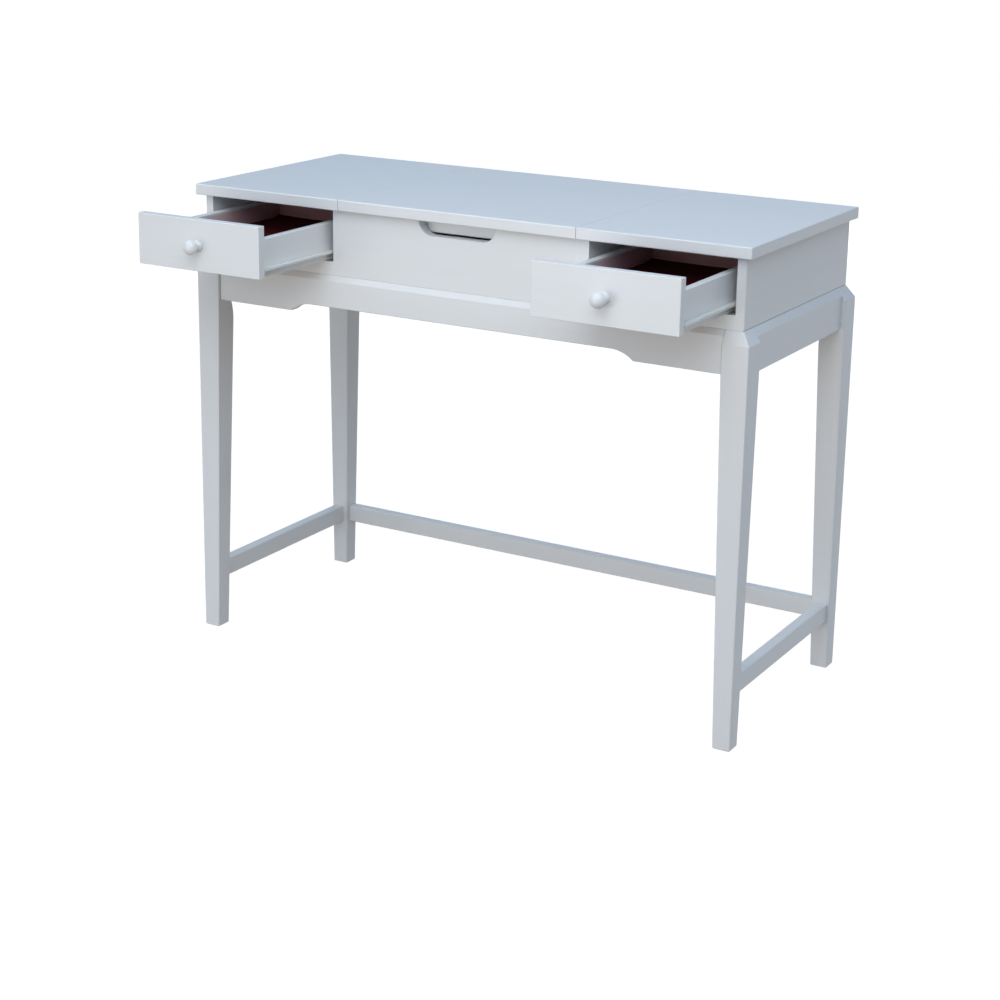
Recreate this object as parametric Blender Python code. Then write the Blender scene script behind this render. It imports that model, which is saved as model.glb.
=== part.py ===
"""Vanity table with a lift-up mirror lid: Blender model, metres, +Z up.

The table stands on four tapered legs that are bolted to an apron frame through corner blocks.
A shallow case rests on that frame. Two drawers run in it on side-mounted roller slides, and
the middle of the top is a lid, hinged at the back, with a framed mirror on its underside.

The drawers are modelled part open and the lid closed. The model's origin is on the floor,
under the middle of its bounding box.
"""

import math

import bmesh
import bpy
from mathutils import Vector

# Overall
TABLE_HEIGHT = 0.762
TOP_LENGTH = 0.977
TOP_DEPTH = 0.413
TOP_THICKNESS = 0.018
CASE_HEIGHT = 0.1055

# How far the top reaches past the case
OVERHANG_SIDE = 0.012
OVERHANG_FRONT = 0.012
OVERHANG_BACK = 0.005

# Lid and the fixed tops beside it
LID_LAP = 0.002
LID_SEAM = 0.001

# Case
SIDE_THICKNESS = 0.014
PARTITION_THICKNESS = 0.019
BACK_THICKNESS = 0.012
BOTTOM_THICKNESS = 0.012
FRONT_THICKNESS = 0.018
RAIL_HEIGHT = 0.0215
DRAWER_OPENING_WIDTH = 0.236

# Finger notch in the middle front
NOTCH_WIDTH = 0.135
NOTCH_DEPTH = 0.0235
NOTCH_RADIUS = 0.0225
NOTCH_STEPS = 12

# Legs
LEG_TOP_SECTION = 0.0425
LEG_FOOT_SECTION = 0.0285
LEG_PROUD_SIDE = 0.0135
LEG_PROUD_FRONT = 0.0105
LEG_PROUD_BACK = 0.0095
LEG_CHAMFER_DROP = 0.019
LEG_EASE = 0.0012
LEG_INNER_CHAMFER = 0.011
LEG_RUNOUT_LENGTH = 0.040
LEG_RUNOUT_STEPS = 6
FOOT_EASE = 0.0012

# Aprons
APRON_HEIGHT = 0.0655
APRON_THICKNESS = 0.020
APRON_SETBACK = 0.0055
APRON_EASE = 0.001
ARCH_RISE = 0.014
ARCH_HALF_WIDTH = 0.3055
ARCH_RUN = 0.0375
ARCH_STEPS = 7

# Stretchers
STRETCHER_HEIGHT = 0.030
STRETCHER_THICKNESS = 0.019
STRETCHER_TOP = 0.112
STRETCHER_SETBACK = 0.004
STRETCHER_EASE = 0.0015

# Corner blocks and the hanger bolts through them
BLOCK_THICKNESS = 0.020
BLOCK_HEIGHT = 0.045
BLOCK_TO_LEG = 0.006
BOLT_RADIUS = 0.003
BOLT_CLEARANCE = 0.0004
BOLT_BITE = 0.020
BOLT_END_PLAY = 0.002
BOLT_SIDES = 12
WASHER_RADIUS = 0.008
WASHER_THICKNESS = 0.0015
NUT_FLATS = 0.0100
NUT_THICKNESS = 0.005
BOLT_TAIL = 0.008
BOLT_LEAD_IN = 0.001
BOLT_POINT_LENGTH = 0.006
BOLT_POINT_RADIUS = 0.0009

# Drawers
DRAWER_FRONT_SIDE_GAP = 0.003
DRAWER_FRONT_BOTTOM_GAP = 0.003
DRAWER_FRONT_TOP_GAP = 0.0008
DRAWER_FRONT_THICKNESS = 0.015
DRAWER_TO_BACK = 0.034
DRAWER_SIDE_THICKNESS = 0.012
DRAWER_SIDE_HEIGHT = 0.0565
DRAWER_SIDE_LIFT = 0.004
DRAWER_BOTTOM_THICKNESS = 0.005
DRAWER_BOTTOM_LIFT = 0.0205
GROOVE_DEPTH = 0.006
LINER_THICKNESS = 0.0015
LEFT_DRAWER_OPEN = 0.191
RIGHT_DRAWER_OPEN = 0.178

# Knobs
KNOB_LENGTH = 0.0285
KNOB_RADIUS = 0.0118
KNOB_HEAD_LENGTH = 0.0195
KNOB_FOOT_RADIUS = 0.0092
KNOB_NECK_RADIUS = 0.0062
KNOB_NECK_FLARE = 0.0006
KNOB_NOSE_RADIUS = 0.0007
KNOB_NOSE_TURN = 172
KNOB_HEAD_STEPS = 10
KNOB_FOOT_THICKNESS = 0.0026
KNOB_NECK_AT = 0.0066
KNOB_SIDES = 24

# Roller slides
SLIDE_SPACE = 0.0125
SLIDE_GAUGE = 0.0015
SLIDE_HEIGHT = 0.0125
SLIDE_REACH = 0.0100
SLIDE_LIP = 0.0020
SLIDE_UNDER = 0.011
SLIDE_PLAY = 0.0007
TRACK_UPPER_GAP = 0.002
TRACK_UPPER_FLANGE = 0.0065
TRACK_BEHIND_FRONT = 0.0015
TRACK_TO_BACK = 0.0325
ROLLER_RADIUS = 0.0045
ROLLER_WIDTH = 0.005
ROLLER_AXLE_RADIUS = 0.0018
ROLLER_FROM_END = 0.009
ROLLER_SIDE_PLAY = 0.0002
ROLLER_FACETS = 16

# Mirror under the lid
MIRROR_FRAME_DEPTH = 0.022
MIRROR_FRAME_WIDTH = 0.036
MIRROR_FRAME_SIDE_GAP = 0.0075
MIRROR_FRAME_FRONT_GAP = 0.0025
MIRROR_FRAME_BACK_GAP = 0.0415
MIRROR_RABBET = 0.008
MIRROR_THICKNESS = 0.004
MIRROR_LIP = 0.008
FRAME_EASE = 0.0015

# Hinges of the lid
HINGE_LENGTH = 0.050
HINGE_FROM_CENTRE = 0.130
HINGE_GAUGE = 0.0015
HINGE_BARREL_RADIUS = 0.0032
HINGE_BARREL_GAP = 0.0006
HINGE_KNUCKLE = 0.016
HINGE_KNUCKLE_GAP = 0.0004
HINGE_PIN_RADIUS = 0.0014
HINGE_PIN_CLEARANCE = 0.0004
HINGE_LID_LEAF = 0.028
HINGE_CASE_LEAF = 0.026
HINGE_NOTCH_PLAY = 0.0005
HINGE_SKIN = 0.00005
HINGE_OVERLAP = 0.002
HINGE_SIDES = 16

# Edges and fits
CONTACT_GAP = 0.0003
TOP_EDGE = 0.002
SEAM_EDGE = 0.0005
BOARD_EDGE = 0.001
HIDDEN_EDGE = 0.0006

# Levels and faces that several pieces share
TOP_UNDERSIDE = TABLE_HEIGHT - TOP_THICKNESS
CASE_BOTTOM = TOP_UNDERSIDE - CASE_HEIGHT
CASE_TOP = TOP_UNDERSIDE - CONTACT_GAP
BASE_TOP = CASE_BOTTOM - CONTACT_GAP
APRON_BOTTOM = CASE_BOTTOM - APRON_HEIGHT
CASE_HALF_WIDTH = TOP_LENGTH / 2 - OVERHANG_SIDE
CASE_FRONT = -TOP_DEPTH / 2 + OVERHANG_FRONT
CASE_BACK = TOP_DEPTH / 2 - OVERHANG_BACK
OPENING_OUTER = CASE_HALF_WIDTH - SIDE_THICKNESS
OPENING_INNER = OPENING_OUTER - DRAWER_OPENING_WIDTH
OPENING_BOTTOM = CASE_BOTTOM + RAIL_HEIGHT
COMPARTMENT_HALF_WIDTH = OPENING_INNER - PARTITION_THICKNESS
LID_WIDTH = 2 * (COMPARTMENT_HALF_WIDTH + LID_LAP)
COMPARTMENT_FRONT = CASE_FRONT + FRONT_THICKNESS
COMPARTMENT_BACK = CASE_BACK - BACK_THICKNESS
FLOOR_OF_CASE = CASE_BOTTOM + BOTTOM_THICKNESS
MIRROR_FRAME_FRONT = COMPARTMENT_FRONT + MIRROR_FRAME_FRONT_GAP
MIRROR_FRAME_LENGTH = COMPARTMENT_BACK - MIRROR_FRAME_BACK_GAP - MIRROR_FRAME_FRONT
LEG_OUTER_X = CASE_HALF_WIDTH + LEG_PROUD_SIDE
LEG_FRONT_Y = CASE_FRONT - LEG_PROUD_FRONT
LEG_BACK_Y = CASE_BACK + LEG_PROUD_BACK
TRACK_FROM_FRONT = DRAWER_FRONT_THICKNESS + TRACK_BEHIND_FRONT
DRAWER_CENTRE_X = (OPENING_OUTER + OPENING_INNER) / 2
DRAWER_LENGTH = COMPARTMENT_BACK - CASE_FRONT - DRAWER_TO_BACK
TRACK_LENGTH = COMPARTMENT_BACK - CASE_FRONT - TRACK_TO_BACK - TRACK_FROM_FRONT
DRAWER_BOTTOM_Z = OPENING_BOTTOM + DRAWER_SIDE_LIFT
DRAWER_HALF_WIDTH = DRAWER_OPENING_WIDTH / 2 - SLIDE_SPACE
BLOCK_MIDDLE_Z = (BASE_TOP + APRON_BOTTOM) / 2
HINGE_AXIS_Y = CASE_BACK + HINGE_BARREL_GAP + HINGE_BARREL_RADIUS
HINGE_AXIS_Z = TOP_UNDERSIDE - CONTACT_GAP - HINGE_BARREL_RADIUS

# The drawer pulled furthest out and the back legs bound the model along Y
FOREMOST_Y = CASE_FRONT - max(LEFT_DRAWER_OPEN, RIGHT_DRAWER_OPEN) - KNOB_LENGTH
REARMOST_Y = max(LEG_BACK_Y, TOP_DEPTH / 2)
ORIGIN_SHIFT_Y = -(FOREMOST_Y + REARMOST_Y) / 2

# Finishes: colour, roughness, metallic
PAINT = ((0.62, 0.65, 0.72), 0.42, 0.0)
BARE_WOOD = ((0.55, 0.38, 0.22), 0.60, 0.0)
FELT = ((0.10, 0.012, 0.016), 0.95, 0.0)
EPOXY = ((0.70, 0.70, 0.68), 0.35, 0.0)
ZINC = ((0.62, 0.61, 0.58), 0.35, 1.0)
BRASS = ((0.72, 0.55, 0.26), 0.30, 1.0)
GLASS_MIRROR = ((0.88, 0.90, 0.91), 0.03, 1.0)
BOARD_BROWN = ((0.30, 0.19, 0.11), 0.75, 0.0)


def clear_scene():
    """Removes every object that the scene starts with."""
    for thing in list(bpy.data.objects):
        bpy.data.objects.remove(thing, do_unlink=True)


def finish_material(name, finish):
    """A Principled material of one piece."""
    colour, roughness, metallic = finish
    material = bpy.data.materials.new(f"{name}_finish")
    material.use_nodes = True
    shader = material.node_tree.nodes["Principled BSDF"]
    shader.inputs["Base Color"].default_value = (*colour, 1.0)
    shader.inputs["Roughness"].default_value = roughness
    shader.inputs["Metallic"].default_value = metallic
    material.diffuse_color = (*colour, 1.0)
    return material


def empty(name, location, parent=None):
    """An axis or a group that pieces are parented to."""
    thing = bpy.data.objects.new(name, None)
    bpy.context.collection.objects.link(thing)
    thing.location = location
    thing.parent = parent
    return thing


def piece(name, mesh_data, finish, location, parent):
    """A named sub-part with outward faces, from a bmesh that it uses up."""
    bmesh.ops.recalc_face_normals(mesh_data, faces=mesh_data.faces)
    mesh = bpy.data.meshes.new(name)
    mesh_data.to_mesh(mesh)
    mesh_data.free()
    thing = bpy.data.objects.new(name, mesh)
    bpy.context.collection.objects.link(thing)
    thing.location = location
    thing.parent = parent
    if finish is not None:
        mesh.materials.append(finish_material(name, finish))
    return thing


def ease_edges(thing, width, segments=1, by_weight=False):
    """Rounds the piece's sharp edges."""
    bevel = thing.modifiers.new("eased_edges", "BEVEL")
    bevel.width = width
    bevel.segments = segments
    bevel.limit_method = "WEIGHT" if by_weight else "ANGLE"
    bevel.angle_limit = math.radians(40)


def ease_chosen(thing, width, chosen):
    """Rounds the edges whose ends both pass a test of their place."""
    weights = thing.data.attributes.new("bevel_weight_edge", "FLOAT", "EDGE")
    corners = thing.data.vertices
    for edge in thing.data.edges:
        ends = [corners[i].co for i in edge.vertices]
        weights.data[edge.index].value = float(all(chosen(end) for end in ends))
    ease_edges(thing, width, by_weight=True)


def shade_round(thing, angle=35):
    """Smooth shading that keeps the sharp edges."""
    thing.data.shade_smooth()
    thing.data.set_sharp_from_angle(angle=math.radians(angle))


def block(name, x, y, z, finish, parent, edge=BOARD_EDGE, segments=1):
    """A board between three pairs of limits, with eased edges unless edge is None."""
    size = Vector((x[1] - x[0], y[1] - y[0], z[1] - z[0]))
    centre = Vector((x[0] + x[1], y[0] + y[1], z[0] + z[1])) / 2
    shape = bmesh.new()
    bmesh.ops.create_cube(shape, size=1.0)
    bmesh.ops.scale(shape, vec=size, verts=shape.verts)
    thing = piece(name, shape, finish, centre, parent)
    if edge is not None:
        ease_edges(thing, edge, segments)
    return thing


def loft(name, rings, finish, location, parent):
    """A closed body through rings of equal point counts, capped at both ends."""
    shape = bmesh.new()
    loops = [[shape.verts.new(point) for point in ring] for ring in rings]
    count = len(rings[0])
    for lower, upper in zip(loops, loops[1:]):
        for i in range(count):
            j = (i + 1) % count
            shape.faces.new((lower[i], lower[j], upper[j], upper[i]))
    shape.faces.new(loops[0])
    shape.faces.new(loops[-1])
    return piece(name, shape, finish, location, parent)


def extrude_along_x(name, outline, x, finish, parent, location=(0, 0, 0)):
    """A prism whose (y, z) outline runs between two x."""
    rings = [[(at, y, z) for y, z in outline] for at in x]
    return loft(name, rings, finish, location, parent)


def extrude_along_y(name, outline, y, finish, parent, location=(0, 0, 0)):
    """A prism whose (x, z) outline runs between two y."""
    rings = [[(x, at, z) for x, z in outline] for at in y]
    return loft(name, rings, finish, location, parent)


def extrude_along_z(name, outline, z, finish, parent, location=(0, 0, 0)):
    """A prism whose (x, y) outline runs between two z."""
    rings = [[(x, y, at) for x, y in outline] for at in z]
    return loft(name, rings, finish, location, parent)


def circle(radius, sides, turn=0.0):
    """Points of a circle, as (u, v) pairs."""
    step = 2 * math.pi / sides
    return [
        (radius * math.cos(turn + i * step), radius * math.sin(turn + i * step))
        for i in range(sides)
    ]


def arc(centre, radius, start, end, steps):
    """Points of an arc between two angles in degrees, both ends included."""
    angles = [math.radians(start + (end - start) * i / steps) for i in range(steps + 1)]
    return [(centre[0] + radius * math.cos(a), centre[1] + radius * math.sin(a)) for a in angles]


def guide(name, rings, location, parent):
    """A hidden solid that only cuts or joins."""
    thing = loft(name, rings, None, location, parent)
    thing.hide_render = True
    thing.display_type = "WIRE"
    return thing


def combine(thing, tool, operation):
    """Cuts a guide out of a piece, or joins it on."""
    boolean = thing.modifiers.new(operation.lower(), "BOOLEAN")
    boolean.object = tool
    boolean.operation = operation
    boolean.solver = "EXACT"


# ---------------------------------------------------------------- legs and frame

CORNERS = {
    "front_left": (-1, LEG_FRONT_Y, 1, LEG_PROUD_FRONT),
    "front_right": (1, LEG_FRONT_Y, 1, LEG_PROUD_FRONT),
    "back_left": (-1, LEG_BACK_Y, -1, LEG_PROUD_BACK),
    "back_right": (1, LEG_BACK_Y, -1, LEG_PROUD_BACK),
}


def leg_section(z):
    """Width of the square leg at a height: tapered to the aprons, then straight."""
    share = min(z / APRON_BOTTOM, 1.0)
    return LEG_FOOT_SECTION + (LEG_TOP_SECTION - LEG_FOOT_SECTION) * share


def leg_inner_cut(z):
    """Width of the chamfer on the leg's inner corner, which runs out below the aprons."""
    share = min(max((z - APRON_BOTTOM + LEG_RUNOUT_LENGTH) / LEG_RUNOUT_LENGTH, 0.0), 1.0)
    return LEG_EASE + (LEG_INNER_CHAMFER - LEG_EASE) * share**2


def leg_ring(z, inset_side=0.0, inset_end=0.0, shrink=0.0):
    """Eight points around a leg at a height, from its outer corner at (0, 0) inwards."""
    inner = leg_section(z) - shrink
    cut = leg_inner_cut(z)
    u = inset_side + shrink
    v = inset_end + shrink
    ease = LEG_EASE
    return [
        (u, v + ease, z),
        (u + ease, v, z),
        (inner - ease, v, z),
        (inner, v + ease, z),
        (inner, inner - cut, z),
        (inner - cut, inner, z),
        (u + ease, inner, z),
        (u, inner - ease, z),
    ]


def build_leg(corner, table):
    """A tapered leg: square outside, chamfered at the top and behind the aprons."""
    side, outer_y, inward, proud = CORNERS[corner]
    runout = [
        APRON_BOTTOM - LEG_RUNOUT_LENGTH * (1 - i / LEG_RUNOUT_STEPS)
        for i in range(LEG_RUNOUT_STEPS + 1)
    ]
    rings = [leg_ring(0.0, shrink=FOOT_EASE), leg_ring(FOOT_EASE)]
    rings += [leg_ring(z) for z in runout]
    rings.append(leg_ring(BASE_TOP - LEG_CHAMFER_DROP))
    rings.append(leg_ring(BASE_TOP, LEG_PROUD_SIDE, proud))
    placed = [[(-side * u, inward * v, z) for u, v, z in ring] for ring in rings]
    leg = loft(f"leg_{corner}", placed, PAINT, (side * LEG_OUTER_X, outer_y, 0), table)
    depth = LEG_TOP_SECTION - LEG_INNER_CHAMFER / 2
    start = (side * (LEG_OUTER_X - depth), outer_y + inward * depth, BLOCK_MIDDLE_Z)
    depths = (-BLOCK_TO_LEG / 2, BOLT_BITE + BOLT_END_PLAY)
    bore = bolt_guide(f"bore_{corner}", corner, start, depths, table)
    combine(leg, bore, "DIFFERENCE")


def bolt_turn(corner):
    """Turn about Z that points +X from the room under the top towards the leg."""
    side, _, inward, _ = CORNERS[corner]
    return math.atan2(-inward, side)


def bolt_guide(name, corner, start, reach, table):
    """A cylinder along the bolt's axis, wider than the bolt by its clearance."""
    outline = circle(BOLT_RADIUS + BOLT_CLEARANCE, BOLT_SIDES)
    rings = [[(at, u, v) for u, v in outline] for at in reach]
    tool = guide(name, rings, start, table)
    tool.rotation_euler.z = bolt_turn(corner)
    return tool


def build_corner_block(corner, table):
    """A diagonal block between two aprons, and the hanger bolt through it into the leg."""
    side, outer_y, inward, _ = CORNERS[corner]
    leg_face = 2 * LEG_TOP_SECTION - LEG_INNER_CHAMFER
    near = leg_face + BLOCK_TO_LEG * math.sqrt(2)
    far = near + BLOCK_THICKNESS * math.sqrt(2)
    wall = APRON_SETBACK + APRON_THICKNESS + CONTACT_GAP
    outline = [(near - wall, wall), (far - wall, wall), (wall, far - wall), (wall, near - wall)]
    placed = [(-side * u, inward * v) for u, v in outline]
    half = BLOCK_HEIGHT / 2
    body = extrude_along_z(
        f"corner_block_{corner}",
        placed,
        (-half, half),
        BARE_WOOD,
        table,
        (side * LEG_OUTER_X, outer_y, BLOCK_MIDDLE_Z),
    )
    middle = (near + far) / 4
    centre = (side * (LEG_OUTER_X - middle), outer_y + inward * middle, BLOCK_MIDDLE_Z)
    reach = (-BLOCK_THICKNESS, BLOCK_THICKNESS)
    hole = bolt_guide(f"hole_{corner}", corner, centre, reach, table)
    combine(body, hole, "DIFFERENCE")
    build_bolt(corner, centre, table)


def build_bolt(corner, centre, table):
    """A hanger bolt with its washer and nut, from the block's middle along +X to the leg."""
    step = 2 * math.pi / BOLT_SIDES
    washer = -BLOCK_THICKNESS / 2 - CONTACT_GAP
    nut = washer - WASHER_THICKNESS
    tail = nut - NUT_THICKNESS
    tip = BLOCK_THICKNESS / 2 + BLOCK_TO_LEG + BOLT_BITE
    corner_radius = NUT_FLATS / 2 / math.cos(math.pi / 6)

    def ring(at, radius):
        return [(at, u, v) for u, v in circle(radius, BOLT_SIDES)]

    hexagon = [
        ((corner_radius if i % 2 == 0 else NUT_FLATS / 2), i * step) for i in range(BOLT_SIDES)
    ]
    nut_rings = [
        [(at, r * math.cos(a), r * math.sin(a)) for r, a in hexagon] for at in (tail, nut)
    ]
    end = tail - BOLT_TAIL
    rings = [ring(end, BOLT_RADIUS - BOLT_LEAD_IN), ring(end + BOLT_LEAD_IN, BOLT_RADIUS)]
    rings.append(ring(tail, BOLT_RADIUS))
    rings += nut_rings
    rings += [ring(nut, WASHER_RADIUS), ring(washer, WASHER_RADIUS), ring(washer, BOLT_RADIUS)]
    rings += [ring(tip - BOLT_POINT_LENGTH, BOLT_RADIUS), ring(tip, BOLT_POINT_RADIUS)]
    bolt = loft(f"hanger_bolt_{corner}", rings, ZINC, centre, table)
    bolt.rotation_euler.z = bolt_turn(corner)
    shade_round(bolt)


def apron_ring(at, bottom, drop, inset):
    """Seven (along, across, z) points around an apron, whose outer face is at across = 0."""
    ease = APRON_EASE
    return [
        (at, 0, bottom + ease),
        (at, 0, BASE_TOP - drop),
        (at, inset, BASE_TOP),
        (at, APRON_THICKNESS, BASE_TOP),
        (at, APRON_THICKNESS, bottom + ease),
        (at, APRON_THICKNESS - ease, bottom),
        (at, ease, bottom),
    ]


def arch_line(half_length):
    """(x, z) of the front apron's lower edge: low ends, a cove each side, a raised middle."""
    radius = (ARCH_RUN**2 + ARCH_RISE**2) / (2 * ARCH_RISE)
    raised = APRON_BOTTOM + ARCH_RISE
    flat = ARCH_HALF_WIDTH - ARCH_RUN
    sweep = math.degrees(math.asin(ARCH_RUN / radius))
    cove = arc((flat, raised - radius), radius, 90 - sweep, 90, ARCH_STEPS)
    right = [(half_length, APRON_BOTTOM), (ARCH_HALF_WIDTH + HIDDEN_EDGE, APRON_BOTTOM), *cove]
    left = [(-x, z) for x, z in reversed(right)]
    return left + right[::-1]


def build_aprons(table):
    """Four aprons between the legs, with their upper outer edges chamfered in line with them."""
    half_x = LEG_OUTER_X - LEG_TOP_SECTION - CONTACT_GAP
    front_y = LEG_FRONT_Y + LEG_TOP_SECTION + CONTACT_GAP
    back_y = LEG_BACK_Y - LEG_TOP_SECTION - CONTACT_GAP
    straight = [(-half_x, APRON_BOTTOM), (half_x, APRON_BOTTOM)]

    def rings(line, proud):
        inset = proud - APRON_SETBACK
        drop = LEG_CHAMFER_DROP * inset / proud
        return [apron_ring(at, z, drop, inset) for at, z in line]

    front = [
        [(x, across, z) for x, across, z in ring]
        for ring in rings(sorted(arch_line(half_x)), LEG_PROUD_FRONT)
    ]
    loft("apron_front", front, PAINT, (0, LEG_FRONT_Y + APRON_SETBACK, 0), table)
    back = [[(x, -across, z) for x, across, z in ring] for ring in rings(straight, LEG_PROUD_BACK)]
    loft("apron_back", back, PAINT, (0, LEG_BACK_Y - APRON_SETBACK, 0), table)
    run = [(front_y, APRON_BOTTOM), (back_y, APRON_BOTTOM)]
    for name, side in (("left", -1), ("right", 1)):
        along = rings(run, LEG_PROUD_SIDE)
        shape = [[(-side * across, y, z) for y, across, z in ring] for ring in along]
        outer = side * (LEG_OUTER_X - APRON_SETBACK)
        loft(f"apron_{name}", shape, PAINT, (outer, 0, 0), table)


def stretcher_section():
    """(across, z) points of an eased stretcher, outer face at across = 0."""
    low = STRETCHER_TOP - STRETCHER_HEIGHT
    ease = STRETCHER_EASE
    wide = STRETCHER_THICKNESS
    return [
        (0, low + ease),
        (0, STRETCHER_TOP - ease),
        (ease, STRETCHER_TOP),
        (wide - ease, STRETCHER_TOP),
        (wide, STRETCHER_TOP - ease),
        (wide, low + ease),
        (wide - ease, low),
        (ease, low),
    ]


def build_stretchers(table):
    """A low stretcher on each side and one at the back, cut to the legs' taper."""
    section = stretcher_section()

    def reach(z):
        return leg_section(z) + CONTACT_GAP

    for name, side in (("left", -1), ("right", 1)):
        ends = (
            [(-side * a, LEG_FRONT_Y + reach(z), z) for a, z in section],
            [(-side * a, LEG_BACK_Y - reach(z), z) for a, z in section],
        )
        outer = side * (LEG_OUTER_X - STRETCHER_SETBACK)
        loft(f"stretcher_{name}", ends, PAINT, (outer, 0, 0), table)
    ends = [[(s * (LEG_OUTER_X - reach(z)), -a, z) for a, z in section] for s in (-1, 1)]
    loft("stretcher_back", ends, PAINT, (0, LEG_BACK_Y - STRETCHER_SETBACK, 0), table)


def build_base(table):
    """Legs, corner blocks with bolts, aprons and stretchers."""
    for corner in CORNERS:
        build_leg(corner, table)
        build_corner_block(corner, table)
    build_aprons(table)
    build_stretchers(table)


# ---------------------------------------------------------------- case

def notched_front():
    """(x, z) outline of the middle front, with the finger notch in its upper edge."""
    half = COMPARTMENT_HALF_WIDTH - CONTACT_GAP
    floor = CASE_TOP - NOTCH_DEPTH
    low = OPENING_BOTTOM + CONTACT_GAP
    turn = NOTCH_WIDTH / 2 - NOTCH_RADIUS
    right = arc((turn, floor + NOTCH_RADIUS), NOTCH_RADIUS, 0, -90, NOTCH_STEPS)
    left = [(-x, z) for x, z in reversed(right)]
    rim = [(NOTCH_WIDTH / 2, CASE_TOP), *right, *left, (-NOTCH_WIDTH / 2, CASE_TOP)]
    return [(-half, low), (half, low), (half, CASE_TOP), *rim, (-half, CASE_TOP)]


def back_outline():
    """(x, z) outline of the back, cut down at its upper edge for the lid's hinge leaves."""
    half = OPENING_OUTER - CONTACT_GAP
    cut = HINGE_LENGTH / 2 + HINGE_NOTCH_PLAY
    floor = HINGE_AXIS_Z + HINGE_BARREL_RADIUS - HINGE_GAUGE - HINGE_NOTCH_PLAY
    edge = []
    for centre in (HINGE_FROM_CENTRE, -HINGE_FROM_CENTRE):
        edge += [(centre + cut, CASE_TOP), (centre + cut, floor)]
        edge += [(centre - cut, floor), (centre - cut, CASE_TOP)]
    return [(-half, CASE_BOTTOM), (half, CASE_BOTTOM), (half, CASE_TOP), *edge, (-half, CASE_TOP)]


def build_case(table):
    """Sides, partitions, back, bottom, front rail, middle front and the two fixed tops.

    Faces that meet flush at a painted joint keep square edges there.
    """
    depth = (CASE_FRONT, CASE_BACK)
    height = (CASE_BOTTOM, CASE_TOP)
    behind_rail = COMPARTMENT_FRONT + CONTACT_GAP
    before_back = COMPARTMENT_BACK - CONTACT_GAP
    between_sides = (-OPENING_OUTER + CONTACT_GAP, OPENING_OUTER - CONTACT_GAP)
    on_floor = FLOOR_OF_CASE + CONTACT_GAP
    on_rail = OPENING_BOTTOM + CONTACT_GAP
    partition = [
        (CASE_FRONT, on_rail),
        (behind_rail, on_rail),
        (behind_rail, on_floor),
        (before_back, on_floor),
        (before_back, CASE_TOP),
        (CASE_FRONT, CASE_TOP),
    ]
    for name, side in (("left", -1), ("right", 1)):
        wall = sorted((side * OPENING_OUTER, side * CASE_HALF_WIDTH))
        panel = block(f"case_side_{name}", wall, depth, height, PAINT, table, None)
        ease_chosen(panel, BOARD_EDGE, lambda end, side=side: side * end.x > 0)
        inner = sorted((side * COMPARTMENT_HALF_WIDTH, side * OPENING_INNER))
        extrude_along_x(f"partition_{name}", partition, inner, PAINT, table)
        seam = side * (LID_WIDTH / 2 + LID_SEAM)
        build_top(f"top_{name}", sorted((seam, side * TOP_LENGTH / 2)), (seam,), table)
    rail_depth = (CASE_FRONT, COMPARTMENT_FRONT)
    rail_height = (CASE_BOTTOM, OPENING_BOTTOM)
    block("front_rail", between_sides, rail_depth, rail_height, PAINT, table, None)
    floor_depth = (behind_rail, before_back)
    floor_height = (CASE_BOTTOM, FLOOR_OF_CASE)
    block("case_bottom", between_sides, floor_depth, floor_height, BARE_WOOD, table, HIDDEN_EDGE)
    back_depth = (COMPARTMENT_BACK, CASE_BACK)
    back = extrude_along_y("case_back", back_outline(), back_depth, PAINT, table)
    ease_edges(back, HIDDEN_EDGE)
    front = extrude_along_y("middle_front", notched_front(), rail_depth, PAINT, table)
    notch_floor = CASE_TOP - NOTCH_DEPTH

    def on_notch_rim(end):
        inside = abs(end.x) < NOTCH_WIDTH / 2 + CONTACT_GAP and end.z > notch_floor - CONTACT_GAP
        return inside and end.y < CASE_FRONT + CONTACT_GAP

    ease_chosen(front, BOARD_EDGE, on_notch_rim)
    shade_round(front)


def build_top(name, x, seams, parent, offset=(0, 0, 0)):
    """A board of the top: its outer edges are rounded, its seam edges barely eased."""
    size = Vector((x[1] - x[0], TOP_DEPTH, TOP_THICKNESS))
    centre = Vector(((x[0] + x[1]) / 2, 0, TABLE_HEIGHT - TOP_THICKNESS / 2)) - Vector(offset)
    shape = bmesh.new()
    bmesh.ops.create_cube(shape, size=1.0)
    bmesh.ops.scale(shape, vec=size, verts=shape.verts)
    weights = shape.edges.layers.float.new("bevel_weight_edge")
    for edge in shape.edges:
        ends = [vert.co.x + centre.x + offset[0] for vert in edge.verts]
        on_seam = any(all(abs(end - seam) < CONTACT_GAP for end in ends) for seam in seams)
        edge[weights] = SEAM_EDGE / TOP_EDGE if on_seam else 1.0
    board = piece(name, shape, PAINT, centre, parent)
    ease_edges(board, TOP_EDGE, 3, by_weight=True)
    return board


# ---------------------------------------------------------------- lid and mirror

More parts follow.
